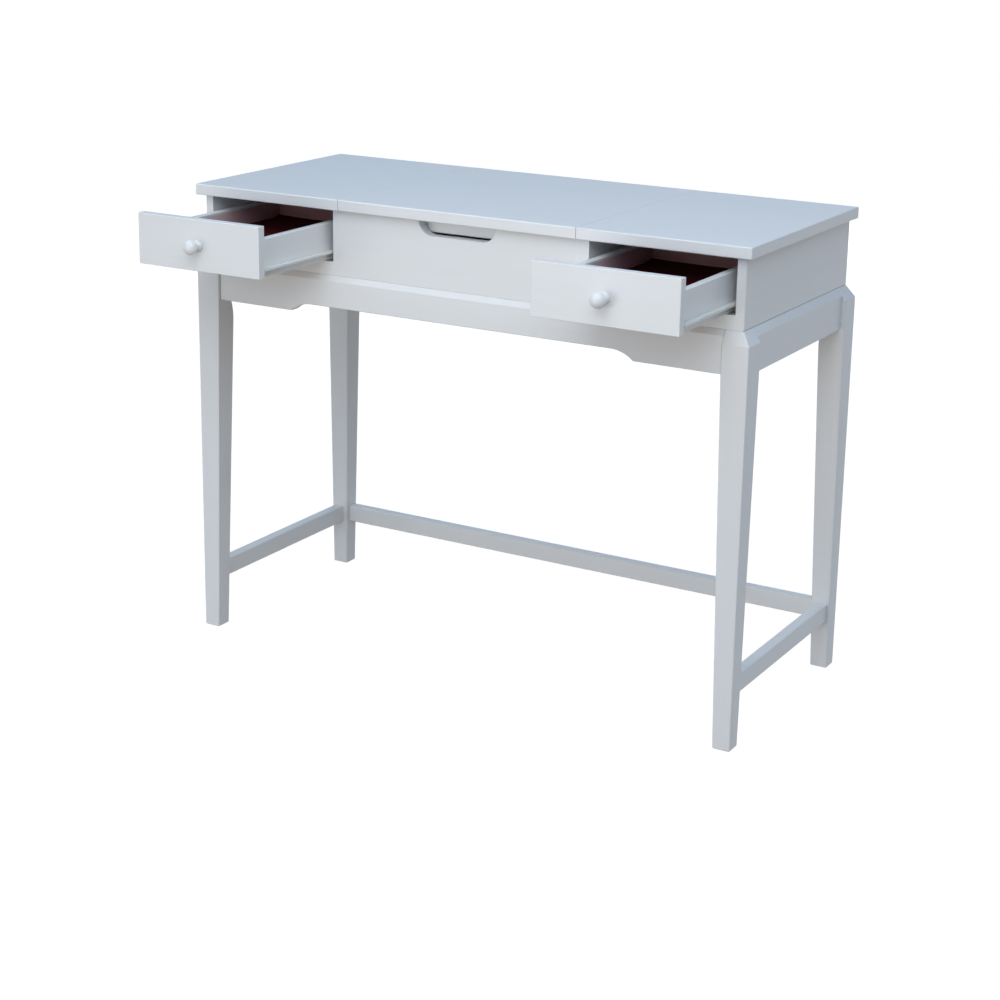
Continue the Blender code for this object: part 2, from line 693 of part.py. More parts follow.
def build_mirror_frame(lid):
    """A mitred frame under the lid, rebated on the lid's side for the glass and its backing."""
    half_x = COMPARTMENT_HALF_WIDTH - MIRROR_FRAME_SIDE_GAP
    centre_y = MIRROR_FRAME_FRONT + MIRROR_FRAME_LENGTH / 2
    half_y = MIRROR_FRAME_LENGTH / 2
    top = TOP_UNDERSIDE - CONTACT_GAP
    low = TOP_UNDERSIDE - MIRROR_FRAME_DEPTH
    lip = low + MIRROR_LIP
    rebate = MIRROR_FRAME_WIDTH - MIRROR_RABBET
    section = [
        (0, top),
        (0, low + FRAME_EASE),
        (FRAME_EASE, low),
        (MIRROR_FRAME_WIDTH - FRAME_EASE, low),
        (MIRROR_FRAME_WIDTH, low + FRAME_EASE),
        (MIRROR_FRAME_WIDTH, lip),
        (rebate, lip),
        (rebate, top),
    ]
    shape = bmesh.new()
    loops = []
    for sx, sy in ((-1, -1), (1, -1), (1, 1), (-1, 1)):
        loops.append(
            [shape.verts.new((sx * (half_x - d), sy * (half_y - d), z)) for d, z in section]
        )
    for i in range(4):
        here, there = loops[i], loops[(i + 1) % 4]
        for j in range(len(section)):
            k = (j + 1) % len(section)
            shape.faces.new((here[j], here[k], there[k], there[j]))
    place = Vector((0, centre_y, 0)) - lid.location
    piece("mirror_frame", shape, PAINT, place, lid)

    inside_x = half_x - rebate - CONTACT_GAP
    inside_y = half_y - rebate - CONTACT_GAP
    across = (-inside_x, inside_x)
    along = (place.y - inside_y, place.y + inside_y)
    glass = (lip + CONTACT_GAP - lid.location.z, lip + MIRROR_THICKNESS - lid.location.z)
    backing = (glass[1] + CONTACT_GAP, top - lid.location.z)
    block("mirror_glass", across, along, glass, GLASS_MIRROR, lid, HIDDEN_EDGE)
    block("mirror_backing", across, along, backing, BOARD_BROWN, lid, HIDDEN_EDGE)


def leaf_outline(length):
    """(along, across) outline of a leaf that runs along -along and rolls round the pin."""
    outer = HINGE_BARREL_RADIUS
    inner = outer - HINGE_GAUGE
    meet = 180 + math.degrees(math.asin(inner / outer))
    roll = arc((0, 0), outer, 90, -meet, HINGE_SIDES)
    return [(-length, outer), *roll, (-length, inner)]


def hinge_guide(name, outline, x, place, parent):
    """A hidden prism along the hinge's axis that joins or cuts a leaf."""
    rings = [[(at, y, z) for y, z in outline] for at in x]
    return guide(name, rings, place, parent)


def filler_outline(length):
    """(along, across) outline of a leaf's plate clear of the barrel, inside its thickness."""
    near = -HINGE_BARREL_RADIUS - HINGE_KNUCKLE_GAP
    low = HINGE_BARREL_RADIUS - HINGE_GAUGE + HINGE_SKIN
    high = HINGE_BARREL_RADIUS - HINGE_SKIN
    return [(near, high), (near, low), (HINGE_SKIN - length, low), (HINGE_SKIN - length, high)]


def build_case_leaf(name, place, parent):
    """The leaf that hangs down the back of the case, with two knuckles and the fast pin."""
    half = HINGE_LENGTH / 2
    clear = HINGE_KNUCKLE / 2 + HINGE_KNUCKLE_GAP
    rolled = [(-b, a) for a, b in leaf_outline(HINGE_CASE_LEAF)]
    plate = [(-b, a) for a, b in filler_outline(HINGE_CASE_LEAF)]
    pin = circle(HINGE_PIN_RADIUS, HINGE_SIDES)
    overlap = clear + HINGE_OVERLAP
    leaf = extrude_along_x(
        f"hinge_case_leaf_{name}", rolled, (-half, -clear), BRASS, parent, place
    )
    for label, outline, x in (
        ("plate", plate, (-overlap, overlap)),
        ("pin", pin, (-overlap, overlap)),
        ("far_knuckle", rolled, (clear, half)),
    ):
        tool = hinge_guide(f"case_leaf_{label}_{name}", outline, x, place, parent)
        combine(leaf, tool, "UNION")


def build_lid_leaf(name, place, parent):
    """The leaf screwed under the lid, with the middle knuckle bored for the pin."""
    half = HINGE_LENGTH / 2
    knuckle = HINGE_KNUCKLE / 2
    leaf = extrude_along_x(
        f"hinge_lid_leaf_{name}",
        leaf_outline(HINGE_LID_LEAF),
        (-knuckle, knuckle),
        BRASS,
        parent,
        place,
    )
    plate = filler_outline(HINGE_LID_LEAF)
    wings = hinge_guide(f"lid_leaf_plate_{name}", plate, (-half, half), place, parent)
    combine(leaf, wings, "UNION")
    hole = circle(HINGE_PIN_RADIUS + HINGE_PIN_CLEARANCE, HINGE_SIDES)
    bore = hinge_guide(f"lid_leaf_bore_{name}", hole, (-half, half), place, parent)
    combine(leaf, bore, "DIFFERENCE")


def build_lid(table):
    """The hinged middle of the top, which turns about the hinges' pins."""
    lid = empty("lid_axis", (0, HINGE_AXIS_Y, HINGE_AXIS_Z), table)
    half = LID_WIDTH / 2
    build_top("lid", (-half, half), (-half, half), lid, lid.location)
    build_mirror_frame(lid)
    for name, x in (("left", -HINGE_FROM_CENTRE), ("right", HINGE_FROM_CENTRE)):
        build_case_leaf(name, (x, HINGE_AXIS_Y, HINGE_AXIS_Z), table)
        build_lid_leaf(name, (x, 0, 0), lid)


# ---------------------------------------------------------------- drawers

def knob_rings():
    """Rings of a turned knob along -Y: a foot, a thin neck and a round head."""
    middle = KNOB_LENGTH - KNOB_HEAD_LENGTH / 2
    flare = KNOB_NECK_RADIUS + KNOB_NECK_FLARE
    back = math.degrees(math.asin(flare / KNOB_RADIUS))
    profile = [(CONTACT_GAP, KNOB_FOOT_RADIUS), (KNOB_FOOT_THICKNESS, KNOB_FOOT_RADIUS)]
    profile += [((KNOB_FOOT_THICKNESS + KNOB_NECK_AT) / 2, flare)]
    profile += [(KNOB_NECK_AT, KNOB_NECK_RADIUS)]
    for i in range(KNOB_HEAD_STEPS + 1):
        turn = math.radians(back + (KNOB_NOSE_TURN - back) * i / KNOB_HEAD_STEPS)
        at = middle - KNOB_HEAD_LENGTH / 2 * math.cos(turn)
        profile.append((at, KNOB_RADIUS * math.sin(turn)))
    profile.append((KNOB_LENGTH, KNOB_NOSE_RADIUS))
    return [[(u, -at, v) for u, v in circle(radius, KNOB_SIDES)] for at, radius in profile]


def grooved_side():
    """(across, z) outline of a drawer side, outer face at across = 0, groove inside."""
    wide = DRAWER_SIDE_THICKNESS
    ease = BOARD_EDGE
    groove_low = DRAWER_BOTTOM_LIFT - CONTACT_GAP
    groove_high = DRAWER_BOTTOM_LIFT + DRAWER_BOTTOM_THICKNESS + CONTACT_GAP
    return [
        (0, 0),
        (wide, 0),
        (wide, groove_low),
        (wide - GROOVE_DEPTH, groove_low),
        (wide - GROOVE_DEPTH, groove_high),
        (wide, groove_high),
        (wide, DRAWER_SIDE_HEIGHT - ease),
        (wide - ease, DRAWER_SIDE_HEIGHT),
        (ease, DRAWER_SIDE_HEIGHT),
        (0, DRAWER_SIDE_HEIGHT - ease),
    ]


def runner_outline():
    """(out, z) outline of the drawer's slide: under the side, up it, and out to a lip."""
    gauge = SLIDE_GAUGE
    foot = -CONTACT_GAP - gauge
    web = CONTACT_GAP + gauge
    return [
        (-SLIDE_UNDER, foot),
        (web, foot),
        (web, SLIDE_HEIGHT - gauge),
        (SLIDE_REACH - gauge, SLIDE_HEIGHT - gauge),
        (SLIDE_REACH - gauge, SLIDE_HEIGHT - gauge - SLIDE_LIP),
        (SLIDE_REACH, SLIDE_HEIGHT - gauge - SLIDE_LIP),
        (SLIDE_REACH, SLIDE_HEIGHT),
        (CONTACT_GAP, SLIDE_HEIGHT),
        (CONTACT_GAP, -CONTACT_GAP),
        (-SLIDE_UNDER, -CONTACT_GAP),
    ]


def track_outline():
    """(out, z) outline of the case's slide: a channel that is open towards the drawer."""
    gauge = SLIDE_GAUGE
    wall = SLIDE_SPACE - CONTACT_GAP
    near = CONTACT_GAP + gauge + SLIDE_PLAY
    low = -CONTACT_GAP - gauge
    high = SLIDE_HEIGHT + TRACK_UPPER_GAP
    return [
        (near, low),
        (wall, low),
        (wall, high + gauge),
        (wall - TRACK_UPPER_FLANGE, high + gauge),
        (wall - TRACK_UPPER_FLANGE, high),
        (wall - gauge, high),
        (wall - gauge, low + gauge),
        (near, low + gauge),
    ]


def roller_rings(side, start, width, stub_end):
    """Rings of a roller and the stub axle that carries it, along X."""
    steps = [
        (start, ROLLER_RADIUS),
        (start + width, ROLLER_RADIUS),
        (start + width, ROLLER_AXLE_RADIUS),
        (stub_end, ROLLER_AXLE_RADIUS),
    ]
    if stub_end < start:
        steps = [
            (stub_end, ROLLER_AXLE_RADIUS),
            (start, ROLLER_AXLE_RADIUS),
            (start, ROLLER_RADIUS),
            (start + width, ROLLER_RADIUS),
        ]
    return [
        [(side * at, u, v) for u, v in circle(radius, ROLLER_FACETS)] for at, radius in steps
    ]


def build_slide_pair(drawer_name, hand, side, drawer, closed_at, table):
    """The two halves of one roller slide, on the outer face of one drawer side."""
    face = side * DRAWER_HALF_WIDTH
    roller_out = CONTACT_GAP + SLIDE_GAUGE + SLIDE_PLAY + ROLLER_SIDE_PLAY
    start_y = DRAWER_FRONT_THICKNESS + BOARD_EDGE
    runner_y = (start_y, DRAWER_LENGTH)
    outline = [(face + side * out, z) for out, z in runner_outline()]
    name = f"{drawer_name}_runner_{hand}"
    runner = extrude_along_y(name, outline, runner_y, EPOXY, drawer)
    rear = DRAWER_LENGTH - ROLLER_FROM_END
    lift = SLIDE_HEIGHT - SLIDE_GAUGE - ROLLER_RADIUS - SLIDE_PLAY
    rear_wheel = roller_rings(side, roller_out, ROLLER_WIDTH, CONTACT_GAP + SLIDE_GAUGE / 2)
    rear_lift = ROLLER_RADIUS - CONTACT_GAP + SLIDE_PLAY
    wheel = guide(f"{name}_wheel", rear_wheel, (face, rear, rear_lift), drawer)
    combine(runner, wheel, "UNION")

    track_name = f"{drawer_name}_track_{hand}"
    track_y = (TRACK_FROM_FRONT, TRACK_FROM_FRONT + TRACK_LENGTH)
    outline = [(face + side * out, z) for out, z in track_outline()]
    track = extrude_along_y(track_name, outline, track_y, EPOXY, table, closed_at)
    stub_end = SLIDE_SPACE - CONTACT_GAP - SLIDE_GAUGE / 2
    front_wheel = roller_rings(side, roller_out, ROLLER_WIDTH, stub_end)
    spot = Vector((face, TRACK_FROM_FRONT + ROLLER_FROM_END, lift)) + closed_at
    wheel = guide(f"{track_name}_wheel", front_wheel, spot, table)
    combine(track, wheel, "UNION")


def build_drawer(name, side_of_table, opened, table):
    """A drawer with its front, box, felt liner, knob and slides, pulled out by a distance."""
    closed_at = Vector((side_of_table * DRAWER_CENTRE_X, CASE_FRONT, DRAWER_BOTTOM_Z))
    drawer = empty(f"{name}_slide_axis", closed_at - Vector((0, opened, 0)), table)
    half = DRAWER_HALF_WIDTH
    inner = half - DRAWER_SIDE_THICKNESS
    behind = DRAWER_FRONT_THICKNESS + CONTACT_GAP
    front_half = DRAWER_OPENING_WIDTH / 2 - DRAWER_FRONT_SIDE_GAP
    front_low = DRAWER_FRONT_BOTTOM_GAP - DRAWER_SIDE_LIFT
    front_high = TOP_UNDERSIDE - DRAWER_FRONT_TOP_GAP - DRAWER_BOTTOM_Z
    face = (-front_half, front_half)
    block(
        f"{name}_front",
        face,
        (0, DRAWER_FRONT_THICKNESS),
        (front_low, front_high),
        PAINT,
        drawer,
        BOARD_EDGE,
        2,
    )
    for hand, side in (("left", -1), ("right", 1)):
        outline = [(side * (half - across), z) for across, z in grooved_side()]
        extrude_along_y(f"{name}_side_{hand}", outline, (behind, DRAWER_LENGTH), PAINT, drawer)
        build_slide_pair(name, hand, side, drawer, closed_at, table)
    floor = DRAWER_BOTTOM_LIFT + DRAWER_BOTTOM_THICKNESS
    groove = inner + GROOVE_DEPTH - CONTACT_GAP
    panel = (DRAWER_BOTTOM_LIFT, floor)
    block(
        f"{name}_bottom",
        (-groove, groove),
        (behind, DRAWER_LENGTH),
        panel,
        BARE_WOOD,
        drawer,
        HIDDEN_EDGE,
    )
    between = (-inner + CONTACT_GAP, inner - CONTACT_GAP)
    back_y = (DRAWER_LENGTH - DRAWER_SIDE_THICKNESS, DRAWER_LENGTH)
    back_z = (floor + CONTACT_GAP, DRAWER_SIDE_HEIGHT)
    block(f"{name}_back", between, back_y, back_z, PAINT, drawer)
    liner_y = (behind, back_y[0] - CONTACT_GAP)
    liner_z = (floor + CONTACT_GAP, floor + CONTACT_GAP + LINER_THICKNESS)
    block(f"{name}_liner", between, liner_y, liner_z, FELT, drawer, CONTACT_GAP)
    knob_z = (front_low + front_high) / 2
    knob = loft(f"{name}_knob", knob_rings(), PAINT, (0, 0, knob_z), drawer)
    shade_round(knob)


def main():
    """Builds the whole table."""
    clear_scene()
    table = empty("table", (0, ORIGIN_SHIFT_Y, 0))
    build_base(table)
    build_case(table)
    build_lid(table)
    build_drawer("drawer_left", -1, LEFT_DRAWER_OPEN, table)
    build_drawer("drawer_right", 1, RIGHT_DRAWER_OPEN, table)


main()
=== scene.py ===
"""Looks of the vanity table with a mirror under its lid: finishes, fine shapes and studio.

Every class below is one finish, one sub-assembly of the table, or the studio it stands in.
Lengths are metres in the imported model's frame: +X along the table, +Y to its back, +Z up.
"""

import logging
import math
from collections.abc import Callable, Iterable, Sequence
from dataclasses import dataclass, field
from enum import Enum
from typing import Any, ClassVar

import bmesh
import bpy
from mathutils import Matrix, Vector


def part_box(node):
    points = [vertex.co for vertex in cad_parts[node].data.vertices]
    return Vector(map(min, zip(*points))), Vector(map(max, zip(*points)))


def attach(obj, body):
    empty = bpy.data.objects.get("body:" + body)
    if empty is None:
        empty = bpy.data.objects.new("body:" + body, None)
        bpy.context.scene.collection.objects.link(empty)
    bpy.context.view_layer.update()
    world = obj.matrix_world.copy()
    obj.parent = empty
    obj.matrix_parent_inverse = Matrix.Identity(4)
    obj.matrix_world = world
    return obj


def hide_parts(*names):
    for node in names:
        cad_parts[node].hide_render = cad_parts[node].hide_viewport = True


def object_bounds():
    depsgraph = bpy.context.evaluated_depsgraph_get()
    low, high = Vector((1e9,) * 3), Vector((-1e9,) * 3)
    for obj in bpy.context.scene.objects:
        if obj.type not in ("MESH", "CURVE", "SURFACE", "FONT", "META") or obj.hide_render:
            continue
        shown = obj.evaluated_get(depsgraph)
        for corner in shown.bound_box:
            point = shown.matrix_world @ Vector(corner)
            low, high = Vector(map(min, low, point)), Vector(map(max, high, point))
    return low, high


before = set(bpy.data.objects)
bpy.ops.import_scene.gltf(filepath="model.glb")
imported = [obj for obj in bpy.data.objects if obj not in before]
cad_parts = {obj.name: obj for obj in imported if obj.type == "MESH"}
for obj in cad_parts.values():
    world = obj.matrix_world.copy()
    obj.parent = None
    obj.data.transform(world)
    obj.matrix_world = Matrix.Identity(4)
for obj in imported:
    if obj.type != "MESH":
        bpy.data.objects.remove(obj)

CAD_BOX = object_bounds()

Colour = tuple[float, float, float]
Box = tuple[Vector, Vector]
Point = Vector | tuple[float, float, float]

log = logging.getLogger("vanity_table")


# ---------------------------------------------------------------- shader graphs


class Grain(Enum):
    """The way that wood fibres and brush strokes run, as a pattern's stretch on each axis."""

    ALONG_X = (1.0, 14.0, 14.0)
    ALONG_Y = (14.0, 1.0, 14.0)
    ALONG_Z = (14.0, 14.0, 1.0)
    NONE = (1.0, 1.0, 1.0)


@dataclass(frozen=True)
class Value:
    """A number that changes over a surface; sums on it add Math nodes.

    Attributes:
        graph: The graph that it belongs to.
        socket: The output socket that gives it.
    """

    graph: "Graph"
    socket: bpy.types.NodeSocket

    def _math(self, operation: str, *terms: "Value | float") -> "Value":
        """Adds one Math node.

        Args:
            operation: What it works out.
            terms: Its numbers in order.

        Returns:
            The result.
        """
        values = dict(enumerate(terms))
        node = self.graph.node("ShaderNodeMath", {"operation": operation}, values)
        return Value(self.graph, node.outputs[0])

    def __add__(self, other: "Value | float") -> "Value":
        """The sum."""
        return self._math("ADD", self, other)

    def __radd__(self, other: float) -> "Value":
        """The sum, from a plain number."""
        return self._math("ADD", other, self)

    def __sub__(self, other: "Value | float") -> "Value":
        """The difference."""
        return self._math("SUBTRACT", self, other)

    def __rsub__(self, other: float) -> "Value":
        """The difference from a plain number, so that 1 - mask works."""
        return self._math("SUBTRACT", other, self)

    def __mul__(self, other: "Value | float") -> "Value":
        """The product."""
        return self._math("MULTIPLY", self, other)

    def __rmul__(self, other: float) -> "Value":
        """The product, from a plain number."""
        return self._math("MULTIPLY", other, self)

    def __abs__(self) -> "Value":
        """The value without its sign."""
        return self._math("ABSOLUTE", self)

    def least(self, other: "Value | float") -> "Value":
        """The smaller of two."""
        return self._math("MINIMUM", self, other)

    def most(self, other: "Value | float") -> "Value":
        """The larger of two."""
        return self._math("MAXIMUM", self, other)

    def sine(self) -> "Value":
        """The sine of an angle in radians."""
        return self._math("SINE", self)

    def step(self, low: float, high: float) -> "Value":
        """A smooth mask.

        Args:
            low: Where the mask is 0.
            high: Where the mask is 1; it may be below low.

        Returns:
            The mask, from 0 to 1.
        """
        settings = {"interpolation_type": "SMOOTHSTEP"}
        if low <= high:
            values = {0: self, 1: low, 2: high, 3: 0.0, 4: 1.0}
        else:
            values = {0: self, 1: high, 2: low, 3: 1.0, 4: 0.0}
        node = self.graph.node("ShaderNodeMapRange", settings, values)
        return Value(self.graph, node.outputs[0])


Factor = Value | float


class Graph:
    """The node graph of one material, with its Principled shader."""

    MIX_FACTOR: ClassVar[int] = 0
    MIX_FIRST: ClassVar[int] = 6
    MIX_SECOND: ClassVar[int] = 7
    MIX_RESULT: ClassVar[int] = 2

    def __init__(self, name: str) -> None:
        """Starts a material of that name."""
        self.begin(bpy.data.materials.new(name), "Principled BSDF", "Object")

    def begin(
        self, owner: bpy.types.Material | bpy.types.World, shader: str, place: str
    ) -> None:
        """Turns on the nodes of a material or world.

        Args:
            owner: The material or world.
            shader: The name of its shader node.
            place: The coordinates that its patterns follow.
        """
        self.owner = owner
        self.owner.use_nodes = True
        self.tree = self.owner.node_tree
        self.shader = self.tree.nodes[shader]
        self.place = self.node("ShaderNodeTexCoord").outputs[place]

    def node(
        self,
        kind: str,
        settings: dict[str, Any] | None = None,
        values: dict[int | str, Any] | None = None,
    ) -> bpy.types.Node:
        """Adds a node.

        Args:
            kind: The node's type.
            settings: What is set on the node itself, before its sockets.
            values: What each input socket gets, by name or number: a value or a link.

        Returns:
            The new node.
        """
        made = self.tree.nodes.new(kind)
        for key, setting in (settings or {}).items():
            setattr(made, key, setting)
        for key, value in (values or {}).items():
            self.feed(made.inputs[key], value)
        return made

    def feed(self, socket: bpy.types.NodeSocket, value: Any) -> None:
        """Sets or links an input socket.

        Args:
            socket: The input socket.
            value: A number, colour, vector, socket or Value.
        """
        if isinstance(value, Value):
            value = value.socket
        if isinstance(value, bpy.types.NodeSocket):
            self.tree.links.new(value, socket)
        elif socket.type == "RGBA" and len(value) == 3:
            socket.default_value = (*value, 1.0)
        else:
            socket.default_value = value

    def stretched(self, stretch: Sequence[float]) -> bpy.types.NodeSocket:
        """The surface coordinates, multiplied on each axis."""
        values = {0: self.place, 1: tuple(stretch)}
        return self.node("ShaderNodeVectorMath", {"operation": "MULTIPLY"}, values).outputs[0]

    def noise(
        self, scale: float, grain: Grain = Grain.NONE, detail: float = 2.0, warp: float = 0.0
    ) -> Value:
        """Soft noise.

        Args:
            scale: Waves to the metre along the grain.
            grain: The way it is drawn out.
            detail: How many finer layers it has.
            warp: How far it is bent by itself.

        Returns:
            The noise, mostly from 0.3 to 0.7.
        """
        vector = self.place if grain is Grain.NONE else self.stretched(grain.value)
        values = {"Vector": vector, "Scale": scale, "Detail": detail, "Distortion": warp}
        return Value(self, self.node("ShaderNodeTexNoise", None, values).outputs[0])

    def axes(self) -> tuple[Value, Value, Value]:
        """The surface's x, y and z."""
        split = self.node("ShaderNodeSeparateXYZ", None, {0: self.place})
        return tuple(Value(self, output) for output in split.outputs)

    def mix(self, factor: Factor, first: Any, second: Any) -> bpy.types.NodeSocket:
        """Two colours mixed.

        Args:
            factor: The second colour's share.
            first: A colour or its socket.
            second: A colour or its socket.

        Returns:
            The socket of the mixed colour.
        """
        values = {self.MIX_FACTOR: factor, self.MIX_FIRST: first, self.MIX_SECOND: second}
        node = self.node("ShaderNodeMix", {"data_type": "RGBA"}, values)
        return node.outputs[self.MIX_RESULT]

    def near_edge(self, box: Box, width: float) -> Value:
        """A mask of a straight board's edges.

        Args:
            box: The board's lowest and highest corners.
            width: How far the mask reaches from an edge.

        Returns:
            The mask, 1 on the edge.
        """
        inside = [
            (value - low).least(high - value)
            for value, low, high in zip(self.axes(), box[0], box[1])
        ]
        largest = inside[0].most(inside[1]).most(inside[2])
        return (inside[0] + inside[1] + inside[2] - largest).step(width, 0.0)

    def bump(self, height: Value, depth: float, strength: float = 1.0) -> None:
        """Raises the surface by a height.

        Args:
            height: The relief, where 1 is one depth high.
            depth: The relief's depth in metres.
            strength: How much of it shows.
        """
        values = {"Strength": strength, "Distance": depth, "Height": height}
        node = self.node("ShaderNodeBump", None, values)
        self.feed(self.shader.inputs["Normal"], node.outputs[0])

    def set(self, **sockets: Any) -> bpy.types.Material | bpy.types.World:
        """Feeds the shader's sockets.

        Args:
            sockets: Values or links by the socket's name, with _ for a space.

        Returns:
            The finished material or world.
        """
        for name, value in sockets.items():
            self.feed(self.shader.inputs[name.replace("_", " ")], value)
        return self.owner


class SkyGraph(Graph):
    """The node graph of the light from all round, over its direction."""

    def __init__(self, name: str) -> None:
        """Starts a world of that name."""
        self.begin(bpy.data.worlds.new(name), "Background", "Generated")


# ---------------------------------------------------------------- finishes


@dataclass(frozen=True)
class Finish:
    """What a piece is made of or coated with."""

    def material(self, name: str, grain: Grain, box: Box) -> bpy.types.Material:
        """The finish on one piece.

        Args:
            name: The material's name.
            grain: The way that its wood, nap or streaks run.
            box: The piece's corners, for its edges.

        Returns:
            The material.
        """
        graph = Graph(name)
        self.dress(graph, grain, box)
        return graph.owner

    def dress(self, graph: Graph, grain: Grain, box: Box) -> None:
        """Feeds the shader, which each finish does in its own way."""
        raise NotImplementedError


@dataclass(frozen=True)
class Paint(Finish):
    """Satin white paint over close-grained wood, a little thinner on the edges.

    Attributes:
        colour: The paint where it is thick.
        thin: The paint where it is thin over the grain.
        rubbed: The edges, where the paint is rubbed thinnest.
        roughness: The mean roughness.
        coat: The weight of the clear top coat.
        coat_roughness: The top coat's roughness.
        rub_width: How far the thin paint reaches from an edge.
        drift, figure, pores, strokes, peel, wear: Waves to the metre of its patterns.
        relief: How deep the pores, strokes and orange peel are.
        mitred: Whether a hairline shows where four members meet at their mitres.
        seam: The hairline's colour.
        seam_width: How far from a mitre it starts to show, and where it shows in full.
    """

    colour: Colour = (0.815, 0.820, 0.825)
    thin: Colour = (0.796, 0.799, 0.800)
    rubbed: Colour = (0.845, 0.842, 0.830)
    roughness: float = 0.38
    coat: float = 0.22
    coat_roughness: float = 0.20
    rub_width: float = 0.0025
    drift: float = 3.0
    figure: float = 3.5
    pores: float = 26.0
    strokes: float = 9.0
    peel: float = 620.0
    wear: float = 55.0
    relief: float = 0.00007
    mitred: bool = False
    seam: Colour = (0.33, 0.33, 0.32)
    seam_width: tuple[float, float] = (0.0003, 0.0001)

    def dress(self, graph: Graph, grain: Grain, box: Box) -> None:
        """Feeds the shader with the paint.

        Args:
            graph: The material's graph.
            grain: The way the wood under it runs.
            box: The piece's corners, for its edges.
        """
        drift = graph.noise(self.drift, detail=2.0)
        figure = graph.noise(self.figure, grain, detail=4.0, warp=0.4)
        pores = graph.noise(self.pores, grain, detail=3.0)
        strokes = graph.noise(self.strokes, grain, detail=5.0)
        peel = graph.noise(self.peel, detail=1.0)
        cover = (drift * 0.35 + figure * 0.40 + strokes * 0.25).step(0.30, 0.70)
        rub = graph.near_edge(box, self.rub_width) * graph.noise(self.wear).step(0.30, 0.70)
        base = graph.mix(cover, self.thin, self.colour)
        tint = self.tinted(graph, graph.mix(rub * 0.6, base, self.rubbed), box)
        roughness = self.roughness + (strokes - 0.5) * 0.10 + (peel - 0.5) * 0.05 + rub * 0.04
        graph.bump(pores * 0.40 + strokes * 0.25 + peel * 0.35, self.relief, 0.40)
        graph.set(Base_Color=tint, Roughness=roughness)
        graph.set(Coat_Weight=self.coat, Coat_Roughness=self.coat_roughness)

    def tinted(
        self, graph: Graph, paint: bpy.types.NodeSocket, box: Box
    ) -> bpy.types.NodeSocket:
        """The paint with what marks it in places.

        Args:
            graph: The graph of the material.
            paint: The colour of the clean paint.
            box: The piece's corners.

        Returns:
            The socket of the marked colour.
        """
        if not self.mitred:
            return paint
        x, y, _ = graph.axes()
        centre = middle(box)
        across = box[1].x - centre.x - abs(x - centre.x)
        along = box[1].y - centre.y - abs(y - centre.y)
        hairline = abs(across - along).step(*self.seam_width)
        return graph.mix(hairline * 0.55, paint, self.seam)


@dataclass(frozen=True)
class BounceAndShadePaint(Paint):
    """The paint inside a drawer, with painted red bounce light and painted shade.

    Attributes:
        face: The axis across the painted face: 0 for a side of the drawer, 1 for its back.
        towards: 1 if the painted face is the board's high side, -1 if its low side.
        clear: How far under the board's upper edge the painted bounce light and shade start.
        painted_bounce: The painted pink bounce light from the felt, near the drawer's front.
        painted_red_shade: The painted shade with red bounce light, at its back and along the
            felt.
        skin: The shares of the board's thickness between which the painted light and shade set
            in.
        deep_shade_start: How far under the board's upper edge the painted shade starts.
        back_shade_start: The share of the board's length at which it starts.
        blotches: Waves to the metre of its uneven strength.
    """

    face: int = 0
    towards: int = -1
    clear: float = 0.004
    # Pink painted bounce light near the front, dark red painted shade at the back and low down.
    painted_bounce: Colour = (0.800, 0.640, 0.680)
    painted_red_shade: Colour = (0.560, 0.240, 0.225)
    skin: tuple[float, float] = (0.90, 0.985)
    deep_shade_start: float = 0.010
    back_shade_start: float = 0.22
    blotches: float = 18.0

    def tinted(
        self, graph: Graph, paint: bpy.types.NodeSocket, box: Box
    ) -> bpy.types.NodeSocket:
        """The paint with painted red bounce light and painted shade on its inner face.

        Args:
            graph: The graph of the material.
            paint: The colour of the clean paint.
            box: The board's corners.

        Returns:
            The socket of the colour with the painted bounce light and shade.
        """
        axes = graph.axes()
        low, high = box
        near = low[self.face] if self.towards > 0 else high[self.face]
        depth = high[self.face] - low[self.face]
        # The painted bounce light and shade cover the inner face, below its upper edge.
        inner = ((axes[self.face] - near) * (self.towards / depth)).step(*self.skin)
        under = (high.z - axes[2]).step(self.clear * 0.5, self.clear * 1.5)
        # deep: the painted shade grows down towards the felt.
        deep = (high.z - axes[2]).step(self.deep_shade_start, high.z - low.z)
        # back: on a side, the painted shade grows towards the drawer's back.
        back: Factor = 1.0
        if self.face == 0:
            back = axes[1].step(low.y + self.back_shade_start * (high.y - low.y), high.y)
        # The painted bounce light and shade are uneven in strength.
        wear_and_patchy_shade = graph.noise(self.blotches, detail=3.0) * 0.3 + 0.85
        # Pink painted bounce light near the front, dark red painted shade low down and at the
        # back.
        bounce_and_shade = graph.mix((deep * 0.25 + back * 0.85).least(1.0), self.painted_bounce, self.painted_red_shade)
        return graph.mix((inner * under * wear_and_patchy_shade).least(1.0), paint, bounce_and_shade)


